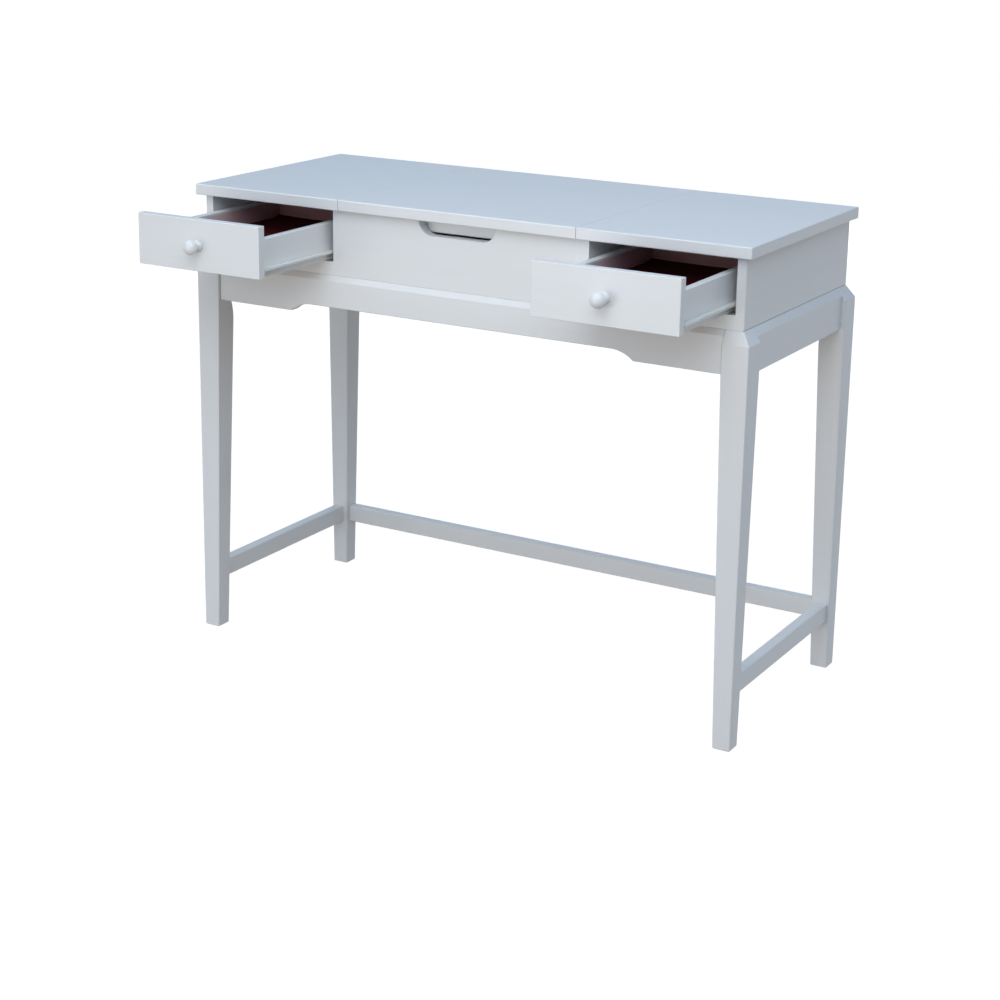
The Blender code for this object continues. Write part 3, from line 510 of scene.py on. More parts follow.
@dataclass(frozen=True)
class BareWood(Finish):
    """Sanded wood without paint, with early and late wood in bands.

    Attributes:
        pale: The early wood.
        dark: The late wood.
        roughness: The mean roughness.
        bands: How many bands the figure has.
        figure, pores, blotches: Waves to the metre of its patterns.
        edge: How far the darker handled wood reaches from an edge.
        relief: How deep the pores are.
    """

    pale: Colour = (0.66, 0.47, 0.29)
    dark: Colour = (0.45, 0.28, 0.15)
    roughness: float = 0.62
    bands: float = 26.0
    figure: float = 1.3
    pores: float = 38.0
    blotches: float = 9.0
    edge: float = 0.003
    relief: float = 0.00018

    def dress(self, graph: Graph, grain: Grain, box: Box) -> None:
        """Feeds the shader with the wood.

        Args:
            graph: The material's graph.
            grain: The way the wood runs.
            box: The piece's corners, for its handled edges.
        """
        figure = graph.noise(self.figure, grain, detail=2.0, warp=0.6)
        rings = (figure * (2 * math.pi * self.bands)).sine() * 0.5 + 0.5
        pores = graph.noise(self.pores, grain, detail=2.0)
        blotch = graph.noise(self.blotches, detail=3.0)
        late = (rings * 0.45 + pores * 0.35 + blotch * 0.20).step(0.30, 0.85)
        handled = graph.near_edge(box, self.edge) * 0.35
        wood = graph.mix(late * 0.8, self.pale, self.dark)
        roughness = self.roughness + (pores - 0.5) * 0.25
        graph.bump(pores * 0.6 + rings * 0.4, self.relief, 0.6)
        graph.set(Base_Color=graph.mix(handled, wood, self.dark), Roughness=roughness)


@dataclass(frozen=True)
class Felt(Finish):
    """Dyed wool felt with a short, matted nap.

    Attributes:
        colour: The felt's lit fibres.
        deep: The felt between the fibres.
        lint: Paler stray fibres.
        matting, fibres, laid, strays: Waves to the metre of its patterns.
        cut: How far the frayed edge reaches in.
        relief: How deep the nap is.
        sheen: The weight of the light along the fibres' tips.
        specular: The weight of its gloss.
    """

    colour: Colour = (0.085, 0.0030, 0.0045)
    deep: Colour = (0.028, 0.0010, 0.0018)
    lint: Colour = (0.16, 0.022, 0.026)
    matting: float = 70.0
    fibres: float = 420.0
    laid: float = 26.0
    strays: float = 900.0
    cut: float = 0.0015
    relief: float = 0.0008
    sheen: float = 0.08
    specular: float = 0.15

    def dress(self, graph: Graph, grain: Grain, box: Box) -> None:
        """Feeds the shader with the felt.

        Args:
            graph: The material's graph.
            grain: The way the nap was pressed.
            box: The sheet's corners, for its cut edges.
        """
        matted = graph.noise(self.matting, detail=5.0, warp=1.2)
        fibres = graph.noise(self.fibres, detail=4.0, warp=2.5)
        laid = graph.noise(self.laid, grain, detail=3.0)
        lit = (matted * 0.4 + fibres * 0.4 + laid * 0.2).step(0.34, 0.66)
        stray = graph.noise(self.strays, detail=2.0, warp=3.0).step(0.64, 0.72)
        cut = graph.near_edge(box, self.cut)
        nap = graph.mix(lit, self.deep, self.colour)
        frayed = graph.mix(stray * 0.5 + cut * 0.3, nap, self.lint)
        graph.bump(fibres * 0.7 + matted * 0.3, self.relief, 0.9)
        graph.set(Base_Color=frayed, Roughness=0.92 + (fibres - 0.5) * 0.12)
        graph.set(Specular_IOR_Level=self.specular, Sheen_Tint=self.lint)
        graph.set(Sheen_Weight=self.sheen, Sheen_Roughness=0.5)


@dataclass(frozen=True)
class Enamel(Finish):
    """Baked enamel on rolled steel, polished where rollers run.

    Attributes:
        colour: The enamel.
        wear_and_patchy_shade: The polished line.
        roughness: The mean roughness.
        coat: The weight of its clear gloss.
        peel, scuffs: Waves to the metre of its patterns.
        edge: How far the polished line reaches from an edge.
        relief: How deep its orange peel is.
    """

    colour: Colour = (0.78, 0.78, 0.75)
    wear_and_patchy_shade: Colour = (0.52, 0.52, 0.50)
    roughness: float = 0.32
    coat: float = 0.3
    peel: float = 900.0
    scuffs: float = 40.0
    edge: float = 0.002
    relief: float = 0.00006

    def dress(self, graph: Graph, grain: Grain, box: Box) -> None:
        """Feeds the shader with the enamel.

        Args:
            graph: The material's graph.
            grain: The way the slide runs.
            box: The slide's corners, for its worn edges.
        """
        peel = graph.noise(self.peel, detail=2.0)
        scuffs = graph.noise(self.scuffs, grain, detail=4.0)
        run = graph.near_edge(box, self.edge) * scuffs.step(0.42, 0.62)
        colour = graph.mix(run * 0.7 + scuffs.step(0.62, 0.75) * 0.25, self.colour, self.wear_and_patchy_shade)
        roughness = self.roughness + (peel - 0.5) * 0.12 + (scuffs - 0.5) * 0.2
        graph.bump(peel, self.relief, 0.5)
        graph.set(Base_Color=colour, Roughness=roughness, Coat_Weight=self.coat)


@dataclass(frozen=True)
class Plated(Finish):
    """Plated or polished metal with fine drawn streaks and dulled patches.

    Attributes:
        colour: The clean metal.
        dull: The tarnished metal.
        roughness: The mean roughness.
        streaks, patches: Waves to the metre of its patterns.
        edge: How far the rubbed metal reaches from an edge.
        relief: How deep the streaks are.
    """

    colour: Colour
    dull: Colour
    roughness: float = 0.30
    streaks: float = 60.0
    patches: float = 140.0
    edge: float = 0.0008
    relief: float = 0.00004

    def dress(self, graph: Graph, grain: Grain, box: Box) -> None:
        """Feeds the shader with the metal.

        Args:
            graph: The material's graph.
            grain: The way the streaks run.
            box: The piece's corners, for its rubbed edges.
        """
        streak = graph.noise(self.streaks, grain, detail=4.0)
        patch = graph.noise(self.patches, detail=4.0, warp=0.8).step(0.42, 0.66)
        bright = graph.near_edge(box, self.edge)
        tarnish = (patch * 0.55 + streak * 0.25 - bright * 0.4).most(0.0)
        roughness = self.roughness + streak * 0.12 + patch * 0.14
        graph.bump(streak, self.relief, 0.6)
        colour = graph.mix(tarnish, self.colour, self.dull)
        graph.set(Base_Color=colour, Roughness=roughness, Metallic=1.0)


@dataclass(frozen=True)
class Silvering(Finish):
    """Silvered glass, with a darker rim and a few wiped smears.

    Attributes:
        colour: What the mirror gives back.
        rim: The glass at its cut edge.
        rim_width: How far that shows.
        polish: The clean glass's roughness.
        smears: Waves to the metre of the smears.
    """

    colour: Colour = (0.70, 0.745, 0.750)
    rim: Colour = (0.22, 0.30, 0.27)
    rim_width: float = 0.0045
    polish: float = 0.012
    smears: float = 2.5

    def dress(self, graph: Graph, grain: Grain, box: Box) -> None:
        """Feeds the shader with the silvered glass.

        Args:
            graph: The material's graph.
            grain: The way it was wiped.
            box: The glass's corners, for its rim.
        """
        smear = graph.noise(self.smears, grain, detail=5.0, warp=0.5).step(0.5, 0.75)
        rim = graph.near_edge(box, self.rim_width)
        roughness = self.polish + smear * 0.05 + rim * 0.15
        colour = graph.mix(rim * 0.85, self.colour, self.rim)
        graph.set(Base_Color=colour, Roughness=roughness, Metallic=1.0)


@dataclass(frozen=True)
class Hardboard(Finish):
    """Pressed brown fibreboard with flecks and a faint screen pattern.

    Attributes:
        colour: The board.
        fleck: Its darker fibres.
        screen: Lines of the screen to the metre.
        fibres, clumps: Waves to the metre of its patterns.
        edge: How far the darker edge reaches in.
        relief: How deep the screen's marks are.
        roughness: Its roughness.
    """

    colour: Colour = (0.27, 0.165, 0.095)
    fleck: Colour = (0.13, 0.075, 0.045)
    screen: float = 420.0
    fibres: float = 60.0
    clumps: float = 160.0
    edge: float = 0.002
    relief: float = 0.00012
    roughness: float = 0.74

    def dress(self, graph: Graph, grain: Grain, box: Box) -> None:
        """Feeds the shader with the fibreboard.

        Args:
            graph: The material's graph.
            grain: The way its fibres lie.
            box: The board's corners, for its fuzzy edges.
        """
        fibre = graph.noise(self.fibres, grain, detail=5.0, warp=1.5)
        clump = graph.noise(self.clumps, detail=4.0)
        x, y, _ = graph.axes()
        turn = 2 * math.pi * self.screen
        screen = (x * turn).sine() * (y * turn).sine()
        flecks = (fibre * 0.6 + clump * 0.4).step(0.40, 0.62)
        dark = flecks + graph.near_edge(box, self.edge) * 0.3
        graph.bump(screen * 0.5 + clump, self.relief, 0.6)
        colour = graph.mix(dark, self.colour, self.fleck)
        graph.set(Base_Color=colour, Roughness=self.roughness)


@dataclass(frozen=True)
class Nylon(Finish):
    """Moulded nylon of a slide's roller, greyed by the steel it runs on.

    Attributes:
        colour: The clean nylon.
        grey: The running face.
        roughness: The clean nylon's roughness.
        grease, pits: Waves to the metre of its patterns.
        edge: How far the running face's grey reaches from an edge.
        relief: How deep the mould's pits are.
    """

    colour: Colour = (0.30, 0.31, 0.29)
    grey: Colour = (0.12, 0.12, 0.115)
    roughness: float = 0.42
    grease: float = 300.0
    pits: float = 1500.0
    edge: float = 0.002
    relief: float = 0.00004

    def dress(self, graph: Graph, grain: Grain, box: Box) -> None:
        """Feeds the shader with the nylon.

        Args:
            graph: The material's graph.
            grain: The way the grease was smeared.
            box: The roller's corners, for its running face.
        """
        grease = graph.noise(self.grease, grain, detail=3.0).step(0.40, 0.65)
        run = graph.near_edge(box, self.edge)
        colour = graph.mix((grease * 0.5 + run * 0.4).least(1.0), self.colour, self.grey)
        graph.bump(graph.noise(self.pits), self.relief, 0.5)
        graph.set(Base_Color=colour, Roughness=self.roughness + grease * 0.15)


@dataclass(frozen=True)
class Backdrop(Finish):
    """Matt white paper under and behind the table, which glows so that it stays white.

    Attributes:
        colour: The paper, which takes the table's soft shadow.
        patch: Its slightly darker patches.
        glow: The light that it gives off.
        fibres, patches: Waves to the metre of its patterns.
        relief: How deep its fibres are.
    """

    colour: Colour = (0.130, 0.130, 0.132)
    patch: Colour = (0.120, 0.120, 0.123)
    glow: Colour = (0.940, 0.940, 0.935)
    fibres: float = 350.0
    patches: float = 2.0
    relief: float = 0.0001

    def dress(self, graph: Graph, grain: Grain, box: Box) -> None:
        """Feeds the shader with the paper.

        Args:
            graph: The material's graph.
            grain: Not used, as the paper has none.
            box: Not used, as its edges don't show.
        """
        fibre = graph.noise(self.fibres, detail=2.0)
        graph.bump(fibre, self.relief, 0.3)
        tint = graph.mix(graph.noise(self.patches, detail=3.0), self.patch, self.colour)
        graph.set(Base_Color=tint, Roughness=0.9 + (fibre - 0.5) * 0.1)
        graph.set(Emission_Color=self.glow, Emission_Strength=1.0)


PAINT = Paint()
TURNED_PAINT = Paint(roughness=0.30, coat=0.45)
MITRED_PAINT = Paint(mitred=True)
SAWN = BareWood()
PLY = BareWood(pale=(0.70, 0.53, 0.35), dark=(0.55, 0.38, 0.23), roughness=0.58, bands=12.0)
FELT = Felt()
ENAMEL = Enamel()
ZINC = Plated(colour=(0.66, 0.66, 0.64), dull=(0.42, 0.42, 0.40), roughness=0.28)
BRASS = Plated(colour=(0.72, 0.56, 0.33), dull=(0.56, 0.42, 0.23), roughness=0.26)
SILVER = Silvering()
HARDBOARD = Hardboard()
NYLON = Nylon()
PAPER = Backdrop()

# ---------------------------------------------------------------- shapes

# Angles in degrees from which two faces meet at an edge that is rounded or shaded sharp.
BOARD_CREASE = 15.0
ROUND_CREASE = 38.0
SHARP_EDGE = 35.0

# How close two corners lie when they are one corner.
WELD_GAP = 0.00001


class Recess(Enum):
    """The head of a screw."""

    PAN = "pan"
    FLAT = "flat"


@dataclass(frozen=True)
class Screw:
    """A cross-recessed screw head.

    Attributes:
        radius: The head's radius.
        rise: How far the head stands above the surface.
        style: A domed or a flat head.
        arm: Half the width of the cross's arms.
        reach: How far the arms run from the middle.
        depth: How deep the cross is.
        sectors: Points around the head.
        rows: Points from the middle to the rim.
    """

    radius: float = 0.0034
    rise: float = 0.0016
    style: Recess = Recess.PAN
    arm: float = 0.0005
    reach: float = 0.0020
    depth: float = 0.0012
    sectors: int = 48
    rows: int = 12

    def height(self, u: float, v: float) -> float:
        """How high the head's surface is at a point on it.

        Args:
            u: The point's place across the head.
            v: Its place along the head.

        Returns:
            The height above the seat.
        """
        share = min(math.hypot(u, v) / self.radius, 1.0)
        if self.style is Recess.PAN:
            top = self.rise * math.sqrt(max(1.0 - share**4, 0.0))
        else:
            top = self.rise * (1.0 - share**12)
        crossed = min(abs(u), abs(v)) < self.arm and max(abs(u), abs(v)) < self.reach
        return top - self.depth if crossed else top

    def rings(self) -> list[list[tuple[float, float, float]]]:
        """The head's surface.

        Returns:
            Rings of (along, u, v) points from the rim to the middle.
        """
        made = []
        for row in range(self.rows):
            radius = self.radius * (1.0 - row / self.rows)
            ring = []
            for i in range(self.sectors):
                turn = 2 * math.pi * i / self.sectors
                u, v = radius * math.cos(turn), radius * math.sin(turn)
                ring.append((self.height(u, v) if row else 0.0, u, v))
            made.append(ring)
        return made


class Shape:
    """A mesh under construction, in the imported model's frame."""

    def __init__(self) -> None:
        """Starts an empty mesh."""
        self.mesh = bmesh.new()

    def loft(self, rings: Sequence[Sequence[Point]], capped: bool = True) -> None:
        """Adds a body through rings of equal point counts.

        Args:
            rings: The rings, from one end to the other.
            capped: Whether both ends are closed with a face.
        """
        loops = [[self.mesh.verts.new(point) for point in ring] for ring in rings]
        count = len(loops[0])
        for near, far in zip(loops, loops[1:]):
            for i in range(count):
                j = (i + 1) % count
                self.mesh.faces.new((near[i], near[j], far[j], far[i]))
        if capped:
            self.mesh.faces.new(loops[0])
            self.mesh.faces.new(loops[-1])

    def turned(
        self, profile: Iterable[tuple[float, float]], at: Point, axis: Point, sides: int = 64
    ) -> None:
        """Adds a turned body.

        Args:
            profile: (along, radius) points from one end to the other.
            at: Where the profile's zero is.
            axis: The way that it runs.
            sides: Points around it.
        """
        frame_of = turned_frame(at, axis)
        rings = []
        for along, radius in profile:
            ring = []
            for i in range(sides):
                turn = 2 * math.pi * i / sides
                spot = Vector((along, radius * math.cos(turn), radius * math.sin(turn)))
                ring.append(frame_of @ spot)
            rings.append(ring)
        self.loft(rings)

    def screw(self, kind: Screw, at: Point, outward: Point, turn: float = 0.4) -> None:
        """Adds a screw head.

        Args:
            kind: The screw.
            at: The middle of its seat.
            outward: The way that its head faces.
            turn: How far the cross is turned, in radians.
        """
        frame_of = turned_frame(at, outward) @ Matrix.Rotation(turn, 4, "X")
        self.loft([[frame_of @ Vector(point) for point in ring] for ring in kind.rings()])

    def slab(self, low: Point, high: Point) -> None:
        """Adds a box.

        Args:
            low: Its lowest corner.
            high: Its highest corner.
        """
        made = bmesh.ops.create_cube(self.mesh, size=1.0)["verts"]
        size = Vector(high) - Vector(low)
        bmesh.ops.scale(self.mesh, vec=size, verts=made)
        bmesh.ops.translate(self.mesh, vec=(Vector(high) + Vector(low)) / 2, verts=made)

    def padded(
        self, upper: Sequence[Sequence[Point]], lower: Sequence[Sequence[Point]]
    ) -> None:
        """Adds a sheet with two faces and a rim between them.

        Args:
            upper: The upper face's points in rows.
            lower: The lower face's points in the same rows.
        """
        grids = [], []
        for rows in zip(upper, lower):
            for grid, row in zip(grids, rows):
                grid.append([self.mesh.verts.new(point) for point in row])
        for grid in grids:
            for near, far in zip(grid, grid[1:]):
                for i in range(len(near) - 1):
                    self.mesh.faces.new((near[i], near[i + 1], far[i + 1], far[i]))
        rims = []
        for grid in grids:
            rim = grid[0] + [line[-1] for line in grid[1:]]
            rims.append(rim + grid[-1][-2::-1] + [line[0] for line in grid[-2:0:-1]])
        for i in range(len(rims[0])):
            j = (i + 1) % len(rims[0])
            self.mesh.faces.new((rims[0][i], rims[1][i], rims[1][j], rims[0][j]))

    def piece(self, name: str, smooth: float | None = SHARP_EDGE) -> bpy.types.Object:
        """Turns the mesh into an object and uses it up.

        Args:
            name: The piece's name.
            smooth: The angle in degrees up to which edges are shaded smooth, or None for flat.

        Returns:
            The new object, at the frame's origin.
        """
        bmesh.ops.recalc_face_normals(self.mesh, faces=self.mesh.faces)
        data = bpy.data.meshes.new(name)
        self.mesh.to_mesh(data)
        self.mesh.free()
        if smooth is not None:
            data.shade_smooth()
            data.set_sharp_from_angle(angle=math.radians(smooth))
        thing = bpy.data.objects.new(name, data)
        bpy.context.scene.collection.objects.link(thing)
        return thing


def turned_frame(at: Point, axis: Point) -> Matrix:
    """The matrix that takes +X to an axis and the origin to a point."""
    turn = Vector((1.0, 0.0, 0.0)).rotation_difference(Vector(axis).normalized())
    return Matrix.Translation(Vector(at)) @ turn.to_matrix().to_4x4()


def middle(box: Box) -> Vector:
    """The middle of a box."""
    return (box[0] + box[1]) / 2


def spread(low: float, high: float, step: float) -> list[float]:
    """Evenly spaced numbers.

    Args:
        low: The first.
        high: The last.
        step: About how far apart they are.

    Returns:
        The numbers.
    """
    count = round((high - low) / step)
    return [low + (high - low) * i / count for i in range(count + 1)]


def rounded(thing: bpy.types.Object, width: float, crease: float = BOARD_CREASE) -> None:
    """Rounds a carried-over piece's edges with modifiers that leave its mesh alone.

    Args:
        thing: The piece.
        width: The width of the rounding.
        crease: The angle in degrees from which two faces meet at an edge.
    """
    weld = thing.modifiers.new("joined_corners", "WELD")
    weld.merge_threshold = WELD_GAP
    bevel = thing.modifiers.new("rounded_edges", "BEVEL")
    bevel.width = width
    bevel.segments = 2
    bevel.limit_method = "ANGLE"
    bevel.angle_limit = math.radians(crease)
    bevel.miter_outer = "MITER_ARC"
    normals = thing.modifiers.new("even_shading", "WEIGHTED_NORMAL")
    normals.keep_sharp = False


def box_of(thing: bpy.types.Object) -> Box:
    """The box of a new piece at the frame's origin.

    Args:
        thing: The piece.

    Returns:
        Its lowest and highest corners.
    """
    corners = [vert.co for vert in thing.data.vertices]
    low = Vector(min(corner[axis] for corner in corners) for axis in range(3))
    high = Vector(max(corner[axis] for corner in corners) for axis in range(3))
    return low, high


@dataclass
class SubAssembly:
    """A group of pieces that move together or are fitted together.

    Attributes:
        body: The body that its new pieces ride on.
    """

    body: str

    def carry(
        self,
        node: str,
        finish: Finish,
        grain: Grain = Grain.NONE,
        edge: float | None = 0.0004,
        crease: float = BOARD_CREASE,
    ) -> bpy.types.Object:
        """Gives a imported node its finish, and rounds its edges.

        Args:
            node: The node's name.
            finish: What it is finished with.
            grain: The way its grain runs.
            edge: The width of the rounding, or None for none.
            crease: The angle in degrees from which two faces meet at an edge.

        Returns:
            The node's object.
        """
        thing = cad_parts[node]
        self._coat(thing, finish.material(f"{node}_finish", grain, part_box(node)))
        if edge:
            rounded(thing, edge, crease)
        log.info("%s: finished as %s", node, type(finish).__name__)
        return thing

    def add(
        self,
        thing: bpy.types.Object,
        finish: Finish,
        slot: str,
        grain: Grain = Grain.NONE,
        replaces: Sequence[str] = (),
    ) -> bpy.types.Object:
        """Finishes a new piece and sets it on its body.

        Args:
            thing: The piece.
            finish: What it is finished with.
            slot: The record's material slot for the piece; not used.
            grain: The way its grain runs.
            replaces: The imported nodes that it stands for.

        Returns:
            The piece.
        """
        self._coat(thing, finish.material(f"{thing.name}_finish", grain, box_of(thing)))
        if replaces:
            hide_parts(*replaces)
        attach(thing, self.body)
        log.info("%s: %d faces on %s", thing.name, len(thing.data.polygons), self.body)
        return thing

    @staticmethod
    def _coat(thing: bpy.types.Object, material: bpy.types.Material) -> None:
        """Puts a material on every slot of a piece.

        Args:
            thing: The piece.
            material: The material.
        """
        if not thing.material_slots:
            thing.data.materials.append(material)
        for slot in thing.material_slots:
            slot.material = material


# ---------------------------------------------------------------- the table


@dataclass
class Underframe(SubAssembly):
    """Legs, aprons and stretchers, bolted together through corner blocks.

    Attributes:
        body: The body that it rides on.
        edge: The rounding of its painted edges.
        block_edge: The rounding of the corner blocks.
        bolt_edge: The rounding of the hanger bolts.
        block_screw: The screws that hold a corner block to its aprons.
        screw_from_edge: How far they sit from the block's upper and lower edges.
        screw_turns: How far each column's crosses are turned, in radians.
    """

    body: str = "table_base"
    edge: float = 0.0006
    block_edge: float = 0.0008
    bolt_edge: float = 0.0003
    block_screw: Screw = Screw(radius=0.0040, rise=0.0004, style=Recess.FLAT, depth=0.0003)
    screw_from_edge: float = 0.011
    screw_turns: tuple[float, float] = (-0.2, 0.8)

    CORNERS: ClassVar[dict[str, tuple[int, int]]] = {
        "front_left": (-1, -1),
        "front_right": (1, -1),
        "back_left": (-1, 1),
        "back_right": (1, 1),
    }
    SIDES: ClassVar[dict[str, Grain]] = {
        "front": Grain.ALONG_X,
        "back": Grain.ALONG_X,
        "left": Grain.ALONG_Y,
        "right": Grain.ALONG_Y,
    }

    def build(self) -> None:
        """Makes every piece of the underframe."""
        for corner in self.CORNERS:
            self.carry(f"leg_{corner}", PAINT, Grain.ALONG_Z, self.edge)
            self.carry(f"corner_block_{corner}", SAWN, Grain.ALONG_Z, self.block_edge)
            bolt = f"hanger_bolt_{corner}"
            self.carry(bolt, ZINC, Grain.NONE, self.bolt_edge, ROUND_CREASE)
            self.block_screws(corner)
        for side, grain in self.SIDES.items():
            self.carry(f"apron_{side}", PAINT, grain, self.edge)
            if side != "front":
                self.carry(f"stretcher_{side}", PAINT, grain, self.edge)

    def block_screws(self, corner: str) -> None:
        """Four countersunk screws through a corner block's slanting face.

        Args:
            corner: The corner's name.
        """
        node = f"corner_block_{corner}"
        low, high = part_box(node)
        side, end = self.CORNERS[corner]
        inward = Vector((-side, -end, 0.0)).normalized()
        along = Vector((-inward.y, inward.x, 0.0))
        outer = Vector((high.x if side > 0 else low.x, high.y if end > 0 else low.y, 0.0))
        inner = Vector((low.x if side > 0 else high.x, low.y if end > 0 else high.y, 0.0))
        reach = (outer - inner).dot(-inward)
        face = outer + inward * (reach / 2)
        half = reach / 2 - 2 * self.screw_from_edge
        shape = Shape()
        for z in (low.z + self.screw_from_edge, high.z - self.screw_from_edge):
            for sign, turn in zip((-1, 1), self.screw_turns):
                spot = Vector((face.x, face.y, z)) + along * (sign * half)
                shape.screw(self.block_screw, spot, inward, turn)
        self.add(shape.piece(f"{node}_screws"), ZINC, f"hanger_bolt_{corner}")


@dataclass
class Case(SubAssembly):
    """The shallow case: sides, partitions, back, floor, front pieces and fixed tops.

    Attributes:
        body: The body that it rides on.
        edge: The rounding of its boards.
        top_edge: The rounding of the fixed tops.
        floor_screw: The screws that hold the floor to the partitions.
        floor_screws: How many there are under each partition.
        screw_inset: How far the outer ones sit from the floor's ends.
        screw_turn: How much further each cross is turned than the last, in radians.
        joint_depth: Where the paint in a flush joint starts and ends, behind the front.
    """

    body: str = "table_base"
    edge: float = 0.0004
    top_edge: float = 0.0002
    floor_screw: Screw = Screw(radius=0.0038, rise=0.0004, style=Recess.FLAT, depth=0.0003)
    floor_screws: int = 3
    screw_inset: float = 0.045
    screw_turn: float = 0.7
    joint_depth: tuple[float, float] = (0.00004, 0.0012)

    def build(self) -> None:
        """Makes every piece of the case."""
        for side in ("left", "right"):
            self.carry(f"top_{side}", PAINT, Grain.ALONG_X, self.top_edge)
            self.carry(f"case_side_{side}", PAINT, Grain.ALONG_Y, None)
            self.carry(f"partition_{side}", PAINT, Grain.ALONG_Y, None)
        self.carry("front_rail", PAINT, Grain.ALONG_X, None)
        self.carry("middle_front", PAINT, Grain.ALONG_X, None)
        self.carry("case_back", PAINT, Grain.ALONG_X, self.edge)
        self.carry("case_bottom", PLY, Grain.ALONG_X, self.edge)
        self.joints()
        self.screws()

    def joints(self) -> None:
        """Paint that fills the flush joints of the front."""
        rail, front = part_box("front_rail"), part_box("middle_front")
        left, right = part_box("partition_left"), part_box("partition_right")
        near, far = (rail[0].y + depth for depth in self.joint_depth)
        shape = Shape()
        gaps = [
            ((left[0].x, rail[1].z), (right[1].x, front[0].z)),
            ((left[1].x, front[0].z), (front[0].x, front[1].z)),
            ((front[1].x, front[0].z), (right[0].x, front[1].z)),
            ((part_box("case_side_left")[1].x, rail[0].z), (rail[0].x, rail[1].z)),
            ((rail[1].x, rail[0].z), (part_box("case_side_right")[0].x, rail[1].z)),
        ]
        for low, high in gaps:
            shape.slab((low[0], near, low[1]), (high[0], far, high[1]))
        self.add(shape.piece("case_joint_paint", None), PAINT, "front_rail", Grain.ALONG_X)

    def screws(self) -> None:
        """Countersunk screws through the floor into the partitions."""
        low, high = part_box("case_bottom")
        shape = Shape()
        gap = (high.y - low.y - 2 * self.screw_inset) / (self.floor_screws - 1)
        for side in ("left", "right"):
            across = middle(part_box(f"partition_{side}")).x
            for i in range(self.floor_screws):
                spot = (across, low.y + self.screw_inset + gap * i, low.z)
                shape.screw(self.floor_screw, spot, (0, 0, -1), self.screw_turn * i)
        self.add(shape.piece("case_bottom_screws"), ZINC, "hanger_bolt_front_left")


@dataclass
class MirrorLid(SubAssembly):
    """The lid, the framed mirror under it and the two hinges.

    Attributes:
        body: The body that the lid rides on.
        fixed: The body that the hinges' case leaves ride on.
        hinge_screw: The screws of the hinge leaves.
        hinge_screws: How many each leaf has.
        screw_stagger: How far every other screw sits from the row of the rest.
        lid_row, case_row: How far the rows sit from the edge of each leaf.
        lid_turn, case_turn: How much further each cross is turned than the last.
        leaf_gauge: The leaves' thickness.
        lid_edge, frame_edge, glass_edge: The rounding of the lid, its frame and its glass.
    """

    body: str = "lift_lid"
    fixed: str = "table_base"
    hinge_screw: Screw = Screw(radius=0.0028, rise=0.0003, style=Recess.FLAT, depth=0.00025)
    hinge_screws: int = 3
    screw_stagger: float = 0.004
    lid_row: float = 0.008
    case_row: float = 0.007
    lid_turn: float = 0.5
    case_turn: float = 0.9
    leaf_gauge: float = 0.0015
    lid_edge: float = 0.0002
    frame_edge: float = 0.0005
    glass_edge: float = 0.0003

    def build(self) -> None:
        """Makes every piece of the lid."""
        self.carry("lid", PAINT, Grain.ALONG_X, self.lid_edge)
        self.carry("mirror_frame", MITRED_PAINT, Grain.ALONG_X, self.frame_edge)
        self.carry("mirror_glass", SILVER, Grain.ALONG_X, self.glass_edge)
        self.carry("mirror_backing", HARDBOARD, Grain.ALONG_X, None)
        for side in ("left", "right"):
            self.carry(f"hinge_lid_leaf_{side}", BRASS, Grain.ALONG_X, None)
            self.carry(f"hinge_case_leaf_{side}", BRASS, Grain.ALONG_X, None)
            self.screws(side)

    def screws(self, side: str) -> None:
        """The screws of one hinge.

        Args:
            side: The hinge's side, left or right.
        """
        low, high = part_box(f"hinge_lid_leaf_{side}")
        case_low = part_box(f"hinge_case_leaf_{side}")[0]
        under = high.z - self.leaf_gauge
        behind = case_low.y + self.leaf_gauge
        on_lid, on_case = Shape(), Shape()
        step = (high.x - low.x) / self.hinge_screws
        for i in range(self.hinge_screws):
            x = low.x + step * (i + 0.5)
            stagger = self.screw_stagger if i % 2 else 0.0
            spot = (x, low.y + self.lid_row + stagger, under)
            on_lid.screw(self.hinge_screw, spot, (0, 0, -1), self.lid_turn * i)
            spot = (x, behind, case_low.z + self.case_row + stagger)
            on_case.screw(self.hinge_screw, spot, (0, 1, 0), self.case_turn * i)
        self.add(on_lid.piece(f"hinge_lid_screws_{side}"), BRASS, f"hinge_lid_leaf_{side}")
        fixed = SubAssembly(self.fixed)
        fixed.add(on_case.piece(f"hinge_case_screws_{side}"), BRASS, f"hinge_case_leaf_{side}")


